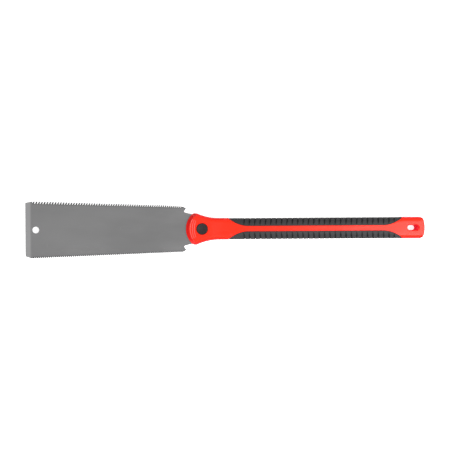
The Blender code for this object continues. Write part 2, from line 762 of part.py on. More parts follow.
def make_blade(shop):
    """The toothed plate with its tang."""
    ends = heel_and_tang() + stem_slot_end() + [(BUTTON_FROM_NOSE - STEM_ROOM, 0)]
    coarse = tip_corner(COARSE_TIP_HALF_WIDTH) + tooth_edge(
        COARSE_TOOTH, (COARSE_DEPTH_TIP, COARSE_DEPTH_HEEL), (COARSE_PITCH_TIP, COARSE_PITCH_HEEL),
        COARSE_SETBACK)
    fine = tip_corner(FINE_TIP_HALF_WIDTH) + tooth_edge(
        FINE_TOOTH, (FINE_DEPTH, FINE_DEPTH), (FINE_PITCH, FINE_PITCH), FINE_SETBACK)
    upper = coarse + ends
    lower = [(x, -y) for x, y in reversed(fine + ends[:-1])]
    hole = circle(-BLADE_REACH + TIP_HOLE_INSET, 0, TIP_HOLE_DIAMETER / 2)
    outlines = [upper + lower, hole, catch_window(-BLADE_HALF)]
    blade = shop.place("blade", plate("blade", outlines, -BLADE_HALF, BLADE_HALF))
    finish(blade, shop.steel, 0.38, 1.0)


# Shells
def screw_places():
    """Name, distance from the nose and side of each shell screw."""
    side = HEAD_SCREWS_APART / 2
    return [
        ("head_upper_screw", HEAD_SCREWS_FROM_NOSE, side),
        ("head_lower_screw", HEAD_SCREWS_FROM_NOSE, -side),
        ("neck_screw", NECK_SCREW_FROM_NOSE, 0),
        ("middle_screw", MIDDLE_SCREW_FROM_NOSE, 0),
        ("rear_screw", REAR_SCREW_FROM_NOSE, 0),
    ]


def roof(x):
    """Height at which a boss or rib ends, sunk into the shell's wall."""
    return float(top_height(x) - wall_thickness(x)) + ROOT_SINK


def blind_boss(name, mouth, bottom, root):
    """A boss with a blind screw hole, from the hole's mouth to the root sunk in the shell."""
    hole = SCREW_DIAMETER / 2 + SEAT_GAP
    profile = [(0, root), (hole + BOSS_WALL, root), (hole + BOSS_WALL, mouth), (hole, mouth),
               (hole, bottom), (0, bottom)]
    if root < mouth:
        profile.reverse()
    return turned(name, profile, SMALL_ROUND_SIDES)


def mouth_mesh(name):
    """The slit between the shells that the tang slides in."""
    front = -CUT_OVERSHOOT
    rear = TANG_SHOULDER + RUNNING_GAP
    half = BLADE_HALF + SEAT_GAP
    outline = [(x, tang_half_width(x) + RUNNING_GAP) for x in (front, rear)]
    return plate(name, [mirrored(outline)], -half, half)


def rib_blocks(shop, prefix, side, open_half):
    """Two pairs of ribs that hold a liner, with a gap between them for what lies under it."""
    tools = []
    for label, x in (("front", FRONT_RIB_FROM_NOSE), ("rear", REAR_RIB_FROM_NOSE)):
        heights = sorted([side * (LINER_OUTER + SEAT_GAP), side * roof(x)])
        for hand in (1, -1):
            across = sorted([hand * open_half, hand * RIB_HALF_LENGTH])
            low = (x - RIB_THICKNESS / 2, across[0], heights[0])
            high = (x + RIB_THICKNESS / 2, across[1], heights[1])
            name = f"{prefix}_{label}_rib_{'upper' if hand > 0 else 'lower'}"
            tools.append(shop.tool(name, block(name, low, high)))
    return tools


def pocket_tools(shop, prefix, side):
    """The two grip pockets of a shell."""
    tools = []
    for label, hand in (("upper", 1), ("lower", -1)):
        name = f"{prefix}_{label}_pocket"
        mesh = loft(name, pocket_loops() * np.array([1, hand, side]))
        tools.append(shop.tool(name, mesh))
    return tools


def slot_tools(shop, prefix, side):
    """The wall round the hanging slot, and the slot itself with its sloping rim."""
    at = (SLOT_MIDDLE, 0, 0)
    low, high = sorted([side * PARTING, side * roof(SLOT_MIDDLE)])
    outline = stadium(SLOT_LENGTH + 2 * SLOT_WALL, SLOT_WIDTH + 2 * SLOT_WALL)
    wall = shop.tool(prefix + "_slot_wall", plate(prefix + "_slot_wall", [outline], low, high), at)
    widths = SLOT_WIDTH + 2 * np.array([0, 0, SLOT_RIM + CUT_OVERSHOOT])
    heights = side * np.array([-CUT_OVERSHOOT, HALF_THICKNESS - SLOT_RIM, HALF_THICKNESS + CUT_OVERSHOOT])
    loops = [[(x, y, height) for x, y in stadium(SLOT_LENGTH + width - SLOT_WIDTH, width)]
             for width, height in zip(widths, heights)]
    slot = shop.tool(prefix + "_slot", loft(prefix + "_slot", np.array(loops)), at)
    return wall, slot


def arc_ridges(shop):
    """The raised arcs behind the nose lip, parallel to the nose."""
    tools = []
    for number in range(ARC_COUNT):
        half_span = ARC_HALF_SPAN - ARC_SPAN_STEP * number
        y = np.linspace(-half_span, half_span, 2 * NOSE_STEPS + 1)
        x = ARC_FIRST + ARC_SPACING * number + NOSE_RADIUS - np.sqrt(NOSE_RADIUS ** 2 - y ** 2)
        curve = bpy.data.curves.new(f"arc_{number + 1}", "CURVE")
        curve.dimensions = "3D"
        curve.bevel_depth = ARC_RADIUS
        curve.bevel_resolution = 2
        curve.use_fill_caps = True
        spline = curve.splines.new("POLY")
        spline.points.add(len(y) - 1)
        for point, along, across in zip(spline.points, x, y):
            point.co = (along, across, HALF_THICKNESS + ARC_HEIGHT - ARC_RADIUS, 1)
        holder = bpy.data.objects.new(curve.name, curve)
        bpy.context.scene.collection.objects.link(holder)
        mesh = evaluated_mesh(holder)
        bpy.data.objects.remove(holder)
        tools.append(shop.tool(f"arc_ridge_{number + 1}", mesh))
    return tools


def make_front_shell(shop):
    """The half that faces up, with the button bore and the raised arcs."""
    shell = shop.place("front_shell", shell_mesh("front_shell", 1))
    bottom = SCREW_SEAT - SCREW_HEAD + SCREW_LENGTH + SEAT_GAP
    adds = []
    for name, x, y in screw_places():
        boss = blind_boss(name + "_boss", PARTING, bottom, roof(x))
        adds.append(shop.tool(name + "_boss", boss, (x, y, 0)))
    wall, slot = slot_tools(shop, "front", 1)
    adds += [wall, *rib_blocks(shop, "front", 1, FRONT_RIB_OPENING / 2), *arc_ridges(shop)]
    bore_radius = BUTTON_DIAMETER / 2 + RUNNING_GAP
    bore_low = HALF_THICKNESS - WALL - CUT_OVERSHOOT
    bore = cylinder("button_bore", bore_radius, bore_low, HALF_THICKNESS + CUT_OVERSHOOT, ROUND_SIDES)
    cuts = [shop.tool("button_bore", bore, (BUTTON_FROM_NOSE, 0, 0)), slot]
    cuts += [shop.tool("front_mouth", mouth_mesh("front_mouth")), *pocket_tools(shop, "front", 1)]
    boolean(shell, "UNION", adds)
    boolean(shell, "DIFFERENCE", cuts)
    finish(shell, shop.red, 0.3)


def make_back_shell(shop):
    """The half that the saw lies on, with the screws' sunk seats."""
    shell = shop.place("back_shell", shell_mesh("back_shell", -1))
    shank = SCREW_DIAMETER / 2 + SEAT_GAP
    head = SCREW_HEAD_DIAMETER / 2 + SEAT_GAP
    seat = SCREW_SEAT + SEAT_GAP
    adds = []
    cuts = []
    for name, x, y in screw_places():
        floor = -roof(x)
        top = (shank, -PARTING)
        profile = [top, (shank + BOSS_WALL, -PARTING), (shank + BOSS_WALL, seat + WALL),
                   (head + WALL / 2, seat + WALL / 2), (head + WALL / 2, floor), (shank, floor), top]
        column = turned(name + "_column", profile, SMALL_ROUND_SIDES)
        adds.append(shop.tool(name + "_column", column, (x, y, 0)))
        well = cylinder(name + "_well", head, -HALF_THICKNESS - CUT_OVERSHOOT, seat)
        cuts.append(shop.tool(name + "_well", well, (x, y, 0)))
    wall, slot = slot_tools(shop, "back", -1)
    adds += [wall, *rib_blocks(shop, "back", -1, LEAF_WIDTH / 2 + RUNNING_GAP)]
    at = (LATCH_SCREW_FROM_NOSE, 0, 0)
    mouth = LEAF_BOTTOM - SEAT_GAP
    bottom = LEAF_TOP + SEAT_GAP + SCREW_HEAD - LATCH_SCREW_LENGTH - SEAT_GAP
    post = blind_boss("latch_post", mouth, bottom, -roof(LATCH_SCREW_FROM_NOSE))
    adds.append(shop.tool("latch_post", post, at))
    cuts.append(slot)
    cuts += [shop.tool("back_mouth", mouth_mesh("back_mouth")), *pocket_tools(shop, "back", -1)]
    boolean(shell, "UNION", adds)
    boolean(shell, "DIFFERENCE", cuts)
    finish(shell, shop.red, 0.3)


def make_grips(shop):
    """Two rubber grips on each shell."""
    for half, side in (("front", 1), ("back", -1)):
        for label, hand in (("upper", 1), ("lower", -1)):
            name = f"{half}_{label}_grip"
            mesh = loft(name, grip_loops() * np.array([1, hand, side]))
            finish(shop.place(name, mesh), shop.rubber, 0.65, smooth_below=20)


# Button, liners, latch and fasteners
def make_button(shop):
    """The push button with its flange and socket, and the stem in the socket.

    The socket's rim stops short of the front liner by the seat gap at the end of the travel.
    """
    at = (BUTTON_FROM_NOSE, 0, 0)
    radius = BUTTON_DIAMETER / 2
    top = HALF_THICKNESS + BUTTON_PROUD
    flange_top = HALF_THICKNESS - WALL - SEAT_GAP
    flange_low = flange_top - BUTTON_FLANGE
    ceiling = top - BUTTON_DISH - BUTTON_WALL
    bore = STEM_DIAMETER / 2 + SEAT_GAP
    socket_low = LINER_OUTER + SEAT_GAP + BUTTON_TRAVEL
    dish = [(share * (radius - BUTTON_RIM), top - BUTTON_DISH * (1 - share ** 2))
            for share in np.linspace(0, 1, DISH_STEPS)]
    profile = [
        *dish,
        (radius - BUTTON_EDGE, top),
        (radius, top - BUTTON_EDGE),
        (radius, flange_top),
        (radius + BUTTON_FLANGE, flange_top),
        (radius + BUTTON_FLANGE, flange_low),
        (radius - BUTTON_WALL, flange_low),
        (radius - BUTTON_WALL, ceiling),
        (bore + SOCKET_WALL, ceiling),
        (bore + SOCKET_WALL, socket_low),
        (bore, socket_low),
        (bore, ceiling),
        (0, ceiling),
    ]
    button = shop.place("release_button", turned("release_button", profile, ROUND_SIDES), at)
    finish(button, shop.rubber, 0.45)
    high = ceiling - SEAT_GAP
    low = LEAF_TOP + SEAT_GAP
    stem_radius = STEM_DIAMETER / 2
    profile = [(0, high), (stem_radius - STEM_CHAMFER, high), (stem_radius, high - STEM_CHAMFER),
               (stem_radius, low + STEM_CHAMFER), (stem_radius - STEM_CHAMFER, low), (0, low)]
    stem = shop.place("button_stem", turned("button_stem", profile, SMALL_ROUND_SIDES), at)
    finish(stem, shop.steel, 0.3, 1.0)


def liner_outline():
    """Outline of a liner plate, narrow between the screw bosses and wide at the rivets."""
    rear = STOP_RIVET_FROM_NOSE + LINER_BEHIND_STOP
    narrow = LINER_NARROW_WIDTH / 2
    wide = LINER_WIDE_WIDTH / 2
    return mirrored([(LINER_FRONT, narrow), (LINER_WIDE_FROM - LINER_TAPER, narrow),
                     (LINER_WIDE_FROM, wide), (rear, wide)])


def make_liners(shop):
    """The steel plates on either side of the tang."""
    rivet_hole = RIVET_DIAMETER / 2 + SEAT_GAP
    holes = [circle(x, y, rivet_hole, SMALL_ROUND_SIDES) for _, x, y in rivet_places()]
    holes.append(circle(BUTTON_FROM_NOSE, 0, STEM_ROOM, SMALL_ROUND_SIDES))
    front = plate("front_liner", [liner_outline(), *holes], LINER_INNER, LINER_OUTER)
    finish(shop.place("front_liner", front), shop.steel, 0.35, 1.0)
    holes.append(catch_window(-LINER_OUTER))
    back = plate("back_liner", [liner_outline(), *holes], -LINER_OUTER, -LINER_INNER)
    finish(shop.place("back_liner", back), shop.steel, 0.35, 1.0)


def rivet_places():
    """Name and place of each rivet."""
    return [
        ("upper_guide_rivet", GUIDE_RIVETS_FROM_NOSE, GUIDE_RIVET_Y),
        ("lower_guide_rivet", GUIDE_RIVETS_FROM_NOSE, -GUIDE_RIVET_Y),
        ("stop_rivet", STOP_RIVET_FROM_NOSE, 0),
    ]


def make_rivets(shop):
    """Three rivets that hold the liners apart."""
    shank = RIVET_DIAMETER / 2
    head = RIVET_HEAD_DIAMETER / 2
    low = LINER_OUTER + SEAT_GAP
    high = low + RIVET_HEAD
    chamfer = RIVET_HEAD / 2
    half = [(0, high), (head - chamfer, high), (head, high - chamfer), (head, low), (shank, low)]
    profile = half + [(radius, -height) for radius, height in reversed(half)]
    mesh = turned("rivet", profile, SMALL_ROUND_SIDES)
    for name, x, y in rivet_places():
        finish(shop.place(name, mesh.copy(), (x, y, 0)), shop.steel, 0.3, 1.0)


def make_latch(shop):
    """The leaf: a strip along a bent path, with a narrow catch at its front end."""
    half = LEAF_THICKNESS / 2
    riser = CATCH_BACK - half
    wide = LEAF_WIDTH / 2
    slim = CATCH_WIDTH / 2
    taper = riser + LEAF_WIDTH - CATCH_WIDTH
    path = np.array([
        (LEAF_REAR, LEAF_MIDDLE), (taper, LEAF_MIDDLE), (riser, LEAF_MIDDLE), (riser, CATCH_MIDDLE),
        (riser - half - CATCH_TOP_LENGTH, CATCH_MIDDLE), (LEAF_FRONT, LEAF_MIDDLE)])
    widths = np.array([wide, wide, slim, slim, slim, slim])
    runs = np.diff(path, axis=0)
    normals = np.stack([runs[:, 1], -runs[:, 0]], axis=1) / np.linalg.norm(runs, axis=1)[:, None]
    before = np.concatenate([normals[:1], normals])
    after = np.concatenate([normals, normals[-1:]])
    mitre = (before + after) / (1 + np.sum(before * after, axis=1))[:, None] * half
    over = path + mitre
    under = path - mitre
    corners = [(over, widths), (over, -widths), (under, -widths), (under, widths)]
    loops = np.stack([np.stack([edge[:, 0], y, edge[:, 1]], axis=1) for edge, y in corners], axis=1)
    leaf = shop.place("latch_spring", loft("latch_spring", loops))
    hole = SCREW_DIAMETER / 2 + SEAT_GAP
    drill = cylinder("leaf_hole", hole, LEAF_BOTTOM - CUT_OVERSHOOT, LEAF_TOP + CUT_OVERSHOOT)
    boolean(leaf, "DIFFERENCE", [shop.tool("leaf_hole", drill, (LATCH_SCREW_FROM_NOSE, 0, 0))])
    finish(leaf, shop.steel, 0.3, 1.0)


def screw_mesh(shop, name, length):
    """A pan-head screw along +Z with its head's outer face at 0 and a cross recess in it."""
    shank = SCREW_DIAMETER / 2
    head = SCREW_HEAD_DIAMETER / 2
    profile = [(0, length), (shank / 2, length), (shank, length - SCREW_POINT), (shank, SCREW_HEAD),
               (head, SCREW_HEAD), (head, SCREW_EDGE), (head - SCREW_EDGE, 0), (0, 0)]
    holder = shop.tool(name + "_blank", turned(name, profile, SMALL_ROUND_SIDES))
    for label, long_x in (("a", True), ("b", False)):
        x = (RECESS_LENGTH if long_x else RECESS_WIDTH) / 2
        y = (RECESS_WIDTH if long_x else RECESS_LENGTH) / 2
        recess = block(name + label, (-x, -y, -SEAT_GAP), (x, y, RECESS_DEPTH))
        boolean(holder, "DIFFERENCE", [shop.tool(f"{name}_recess_{label}", recess)])
    return evaluated_mesh(holder)


def make_screws(shop):
    """The shell screws, driven from the back, and the latch's own screw."""
    mesh = screw_mesh(shop, "shell_screw", SCREW_LENGTH)
    for name, x, y in screw_places():
        screw = shop.place(name, mesh.copy(), (x, y, SCREW_SEAT - SCREW_HEAD))
        finish(screw, shop.steel, 0.35, 1.0)
    mesh = screw_mesh(shop, "latch_screw", LATCH_SCREW_LENGTH)
    height = LEAF_TOP + SEAT_GAP + SCREW_HEAD
    screw = shop.place("latch_screw", mesh, (LATCH_SCREW_FROM_NOSE, 0, height))
    screw.rotation_euler = (math.pi, 0, 0)
    finish(screw, shop.steel, 0.35, 1.0)


def main():
    """Build the whole saw."""
    clear_scene()
    shop = Workshop()
    make_blade(shop)
    make_front_shell(shop)
    make_back_shell(shop)
    make_grips(shop)
    make_button(shop)
    make_liners(shop)
    make_rivets(shop)
    make_latch(shop)
    make_screws(shop)


main()
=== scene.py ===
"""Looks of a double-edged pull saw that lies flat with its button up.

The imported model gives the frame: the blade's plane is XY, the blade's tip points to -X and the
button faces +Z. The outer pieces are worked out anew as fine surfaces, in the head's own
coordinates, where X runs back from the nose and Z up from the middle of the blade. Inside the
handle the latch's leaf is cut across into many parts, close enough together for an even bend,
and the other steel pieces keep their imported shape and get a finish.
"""
import logging
import math
from dataclasses import dataclass
from enum import Enum
from functools import reduce
from typing import Any

import bmesh
import bpy
import numpy as np
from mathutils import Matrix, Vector
from mathutils.geometry import delaunay_2d_cdt


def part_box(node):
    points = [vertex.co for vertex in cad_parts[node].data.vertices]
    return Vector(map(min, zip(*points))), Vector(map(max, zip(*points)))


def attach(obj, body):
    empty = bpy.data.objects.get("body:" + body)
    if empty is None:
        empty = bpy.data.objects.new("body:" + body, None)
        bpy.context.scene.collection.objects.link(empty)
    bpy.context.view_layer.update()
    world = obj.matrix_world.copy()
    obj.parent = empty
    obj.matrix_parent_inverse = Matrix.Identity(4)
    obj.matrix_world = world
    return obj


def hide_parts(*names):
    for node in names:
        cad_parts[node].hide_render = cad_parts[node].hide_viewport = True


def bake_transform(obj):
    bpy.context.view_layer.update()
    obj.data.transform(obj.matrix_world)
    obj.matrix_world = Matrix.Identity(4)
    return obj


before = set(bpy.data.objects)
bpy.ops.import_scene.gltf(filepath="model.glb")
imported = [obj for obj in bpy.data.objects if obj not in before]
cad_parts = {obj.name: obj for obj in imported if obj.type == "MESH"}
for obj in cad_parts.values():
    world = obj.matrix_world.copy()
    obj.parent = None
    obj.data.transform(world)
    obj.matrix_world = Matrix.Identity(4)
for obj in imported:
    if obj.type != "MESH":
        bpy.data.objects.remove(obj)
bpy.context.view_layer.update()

MM = 0.001
SQUARE = math.pi / 2
LOG = logging.getLogger("saw")
Array = np.ndarray
Socket = bpy.types.NodeSocket
Colour = tuple[float, float, float]
WHITE = (1.0, 1.0, 1.0, 1.0)
BLACK = (0.0, 0.0, 0.0, 1.0)

# The head's own coordinates start at the nose, halfway through the blade
NOSE_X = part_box("front_shell")[0].x
MIDDLE_Z = (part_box("blade")[0].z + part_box("blade")[1].z) / 2
HANDLE_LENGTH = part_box("front_shell")[1].x - NOSE_X
HALF_THICKNESS = MIDDLE_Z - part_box("back_shell")[0].z
NECK_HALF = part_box("front_upper_grip")[1].y
BLADE_REACH = NOSE_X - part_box("blade")[0].x
BLADE_HALF = (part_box("blade")[1].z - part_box("blade")[0].z) / 2
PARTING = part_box("front_shell")[0].z - MIDDLE_Z
SEAT_GAP = 2 * PARTING
RUNNING_GAP = 0.5 * MM
BUTTON_X = 24.5 * MM
WELD_DISTANCE = 0.001 * MM


class Side(Enum):
    """The half of the handle: the front faces the camera."""

    FRONT = 1
    BACK = -1


class Hand(Enum):
    """The edge of the saw, as the camera sees it."""

    UPPER = 1
    LOWER = -1


# Numbers and meshes
def ramp(value: Array | float, start: float, end: float) -> Array:
    """A smooth rise from 0 at start to 1 at end: 3s² - 2s³ of the share s of the way."""
    share = np.clip((value - start) / (end - start), 0, 1)
    return share * share * (3 - 2 * share)


def quarter(steps: int) -> Array:
    """Angles of a quarter turn, from 0 to a right angle."""
    return np.linspace(0, SQUARE, steps + 1)


def to_world(points: Array) -> Array:
    """Points of the head's own coordinates, in the frame."""
    return points + np.array([NOSE_X, 0, MIDDLE_Z])


def mesh_of(name: str, points: Array, faces: list[list[int]]) -> bpy.types.Mesh:
    """A mesh of the head's coordinates, welded, with its faces turned outwards.

    Args:
        name: The mesh's name.
        points: Its points, by 3.
        faces: Its faces as lists of point numbers.

    Returns:
        The mesh, placed in the frame.
    """
    mesh = bpy.data.meshes.new(name)
    mesh.from_pydata(to_world(points).tolist(), [], faces)
    work = bmesh.new()
    work.from_mesh(mesh)
    bmesh.ops.remove_doubles(work, verts=work.verts, dist=WELD_DISTANCE)
    bmesh.ops.recalc_face_normals(work, faces=work.faces)
    work.to_mesh(mesh)
    work.free()
    return mesh


def loft(name: str, loops: Array, capped: bool = True) -> bpy.types.Mesh:
    """A closed surface through closed loops.

    Args:
        name: The mesh's name.
        loops: Stations by points by 3.
        capped: Whether the first and the last loop are filled.

    Returns:
        The mesh: a quad between each two points of a loop and the same two of the next.
    """
    stations, points = loops.shape[:2]
    index = np.arange(stations * points).reshape(stations, points)
    ahead = np.roll(index, -1, axis=1)
    faces = np.stack([index[:-1], ahead[:-1], ahead[1:], index[1:]], axis=-1).reshape(-1, 4).tolist()
    if capped:
        faces += [index[0].tolist(), index[-1].tolist()]
    return mesh_of(name, loops.reshape(-1, 3), faces)


def turned(name: str, profile: Array, at: tuple[float, float], sides: int) -> bpy.types.Mesh:
    """A solid turned about an upright axis.

    Args:
        name: The mesh's name.
        profile: Radius and height of its points, both ends on the axis or joined to each other.
        at: The axis's place.
        sides: Facets of a turn.

    Returns:
        The mesh: each profile point (r, z) at (r cos t, r sin t, z) for every angle t.
    """
    angle = np.arange(sides) * 2 * math.pi / sides
    radius, height = profile.T[:, :, None]
    loops = np.stack([at[0] + radius * np.cos(angle), at[1] + radius * np.sin(angle),
                      height + 0 * angle], axis=-1)
    return loft(name, loops, capped=False)


def stacked(name: str, outlines: Array, heights: Array) -> bpy.types.Mesh:
    """A filled solid through outlines, as levels by points by 2, at the height of each level."""
    level = np.broadcast_to(np.asarray(heights)[:, None, None], (*outlines.shape[:2], 1))
    return loft(name, np.concatenate([outlines, level], axis=-1))


def flared(radius: float, low: float, surface: float, rounding: float, steps: int = 6) -> Array:
    """A cutter's size by height: straight, then spread out so that it leaves a rounded rim.

    Args:
        radius: The size of the straight part.
        low: Where it starts.
        surface: The height of the surface that it goes through.
        rounding: The radius of the rim.
        steps: Facets of the rim.

    Returns:
        Sizes and heights. Along the rim they are r + f(1 - cos t) and surface - f(1 - sin t).
    """
    turn = quarter(steps)[:-1]
    size = np.concatenate([[radius], radius + rounding * (1 - np.cos(turn))])
    height = np.concatenate([[low], surface - rounding * (1 - np.sin(turn))])
    beyond = [size[-1] + rounding / 2, surface + rounding]
    return np.vstack([np.stack([size, height], axis=1), beyond])


def stadium(length: float, width: Array, steps: int = 24) -> Array:
    """Outlines of a slot with round ends, about the origin, one for each width.

    Args:
        length: From end to end at the first width; the others are wider and as much longer.
        width: The widths.
        steps: Facets of each round end.

    Returns:
        Widths by points by 2.
    """
    angle = np.linspace(-SQUARE, SQUARE, steps + 1)
    reach = (length - width[0]) / 2
    radius = width[:, None] / 2
    right = np.stack([reach + radius * np.cos(angle), radius * np.sin(angle)], axis=-1)
    return np.concatenate([right, -right], axis=1)


def put(name: str, data: bpy.types.ID) -> bpy.types.Object:
    """Put a new object in the scene, at the origin.

    Args:
        name: Its name.
        data: Its mesh, light or camera.

    Returns:
        The object.
    """
    piece = bpy.data.objects.new(name, data)
    bpy.context.scene.collection.objects.link(piece)
    return piece


def carved(body: bpy.types.Mesh, joins: list[bpy.types.Mesh], cuts: list[bpy.types.Mesh]) -> bpy.types.Mesh:
    """A mesh with others joined to it and then others cut away.

    Args:
        body: The mesh to start from.
        joins: Closed meshes to join.
        cuts: Closed meshes to cut away.

    Returns:
        The finished mesh.
    """
    holder = put(body.name, body)
    helpers = []
    for operation, meshes in (("UNION", joins), ("DIFFERENCE", cuts)):
        for mesh in meshes:
            helpers.append(put(mesh.name, mesh))
            modifier = holder.modifiers.new(mesh.name, "BOOLEAN")
            modifier.operation = operation
            modifier.solver = "MANIFOLD"
            modifier.object = helpers[-1]
    bpy.context.view_layer.update()
    graph = bpy.context.evaluated_depsgraph_get()
    result = bpy.data.meshes.new_from_object(holder.evaluated_get(graph))
    for thing in (holder, *helpers):
        bpy.data.objects.remove(thing)
    return result


def edge_count(mesh: bpy.types.Mesh) -> int:
    """Count the edges that don't join exactly two faces.

    Args:
        mesh: The mesh.

    Returns:
        Their number, 0 on a closed surface.
    """
    loops = np.zeros(len(mesh.loops), np.int32)
    mesh.loops.foreach_get("edge_index", loops)
    return int(np.sum(np.bincount(loops, minlength=len(mesh.edges)) != 2))


def add_piece(name: str, mesh: bpy.types.Mesh, material: bpy.types.Material, body: str, stands_for: str,
              smooth_below: float = 32) -> None:
    """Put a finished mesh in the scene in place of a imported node.

    Args:
        name: The piece's name.
        mesh: Its mesh.
        material: Its finish.
        body: The body it moves with.
        stands_for: The node that it replaces.
        smooth_below: Edges flatter than this many degrees are shaded smooth.
    """
    piece = put(name, mesh)
    mesh.materials.clear()
    mesh.materials.append(material)
    if smooth_below:
        mesh.shade_smooth()
        mesh.set_sharp_from_angle(angle=math.radians(smooth_below))
    else:
        mesh.shade_flat()
    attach(piece, body)
    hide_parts(stands_for)
    LOG.info("%s: %d faces, %d open edges, rides on %s", name, len(mesh.polygons), edge_count(mesh), body)


def add_attribute(mesh: bpy.types.Mesh, name: str, values: Array) -> None:
    """Store one number for each point of a mesh."""
    attribute = mesh.attributes.new(name, "FLOAT", "POINT")
    attribute.data.foreach_set("value", np.asarray(values, np.float32))


def own_points(mesh: bpy.types.Mesh) -> Array:
    """Read the points of a mesh.

    Args:
        mesh: The mesh.

    Returns:
        Points by 3, in the head's coordinates.
    """
    flat = np.zeros(len(mesh.vertices) * 3)
    mesh.vertices.foreach_get("co", flat)
    return flat.reshape(-1, 3) - np.array([NOSE_X, 0, MIDDLE_Z])


# Shading
class NodeBench:
    """Adds nodes to one tree and joins them."""

    def __init__(self, tree: bpy.types.NodeTree) -> None:
        """Work on a tree."""
        self.tree = tree

    def add(self, kind: str, inputs: dict[Any, Any] | None = None, **settings: Any) -> bpy.types.Node:
        """Add a node.

        Args:
            kind: The node's type.
            inputs: A socket or a constant for each input, by name or number.
            settings: The node's own properties.

        Returns:
            The new node.
        """
        node = self.tree.nodes.new(kind)
        for name, value in settings.items():
            setattr(node, name, value)
        for name, value in (inputs or {}).items():
            self.feed(node.inputs[name], value)
        return node

    def feed(self, target: Socket, value: Any) -> None:
        """Join a socket to an input, or set the input to a constant.

        Args:
            target: The input.
            value: The socket or the constant.
        """
        if isinstance(value, bpy.types.NodeSocket):
            self.tree.links.new(value, target)
        else:
            target.default_value = value

    def math(self, operation: str, first: Any, second: Any = 0.0) -> Socket:
        """The result of a Math node."""
        return self.add("ShaderNodeMath", {0: first, 1: second}, operation=operation).outputs[0]

    def remap(self, value: Any, low: float, high: float, to_low: Any = 0.0, to_high: Any = 1.0) -> Socket:
        """A value taken from one range to another, smoothly and within its limits."""
        inputs = {"Value": value, "From Min": low, "From Max": high, "To Min": to_low, "To Max": to_high}
        return self.add("ShaderNodeMapRange", inputs, interpolation_type="SMOOTHSTEP").outputs[0]

    def blend(self, share: Any, first: Any, second: Any) -> Socket:
        """A colour between two, by a share."""
        inputs = {"Factor": share, 6: first, 7: second}
        return self.add("ShaderNodeMix", inputs, data_type="RGBA").outputs[2]

    def noise(self, scale: Any, vector: Socket, detail: float) -> Socket:
        """The value of a noise texture."""
        inputs = {"Scale": scale, "Detail": detail, "Vector": vector}
        return self.add("ShaderNodeTexNoise", inputs).outputs[0]

    def place(self) -> Socket:
        """Where the surface point is, in the object's own coordinates."""
        return self.add("ShaderNodeTexCoord").outputs["Object"]

    def split(self, vector: Socket) -> Any:
        """The three parts of a vector."""
        return self.add("ShaderNodeSeparateXYZ", {0: vector}).outputs

    def facing_up(self) -> Socket:
        """The upward part of the surface's normal, from -1 to 1."""
        return self.split(self.add("ShaderNodeNewGeometry").outputs["Normal"])[2]

    def product(self, *factors: Any) -> Socket:
        """All factors multiplied."""
        return reduce(lambda first, second: self.math("MULTIPLY", first, second), factors)

    def bump(self, height: Socket, strength: float, distance: float) -> Socket:
        """A normal made uneven by a height."""
        inputs = {"Strength": strength, "Distance": distance, "Height": height}
        return self.add("ShaderNodeBump", inputs).outputs[0]

    def attribute(self, name: str) -> Socket:
        """A number stored on the mesh."""
        return self.add("ShaderNodeAttribute", attribute_name=name).outputs["Fac"]

    def group(self, tree: bpy.types.NodeTree, inputs: dict[str, Any]) -> Socket:
        """The first output of a shared effect."""
        return self.add("ShaderNodeGroup", inputs, node_tree=tree).outputs[0]


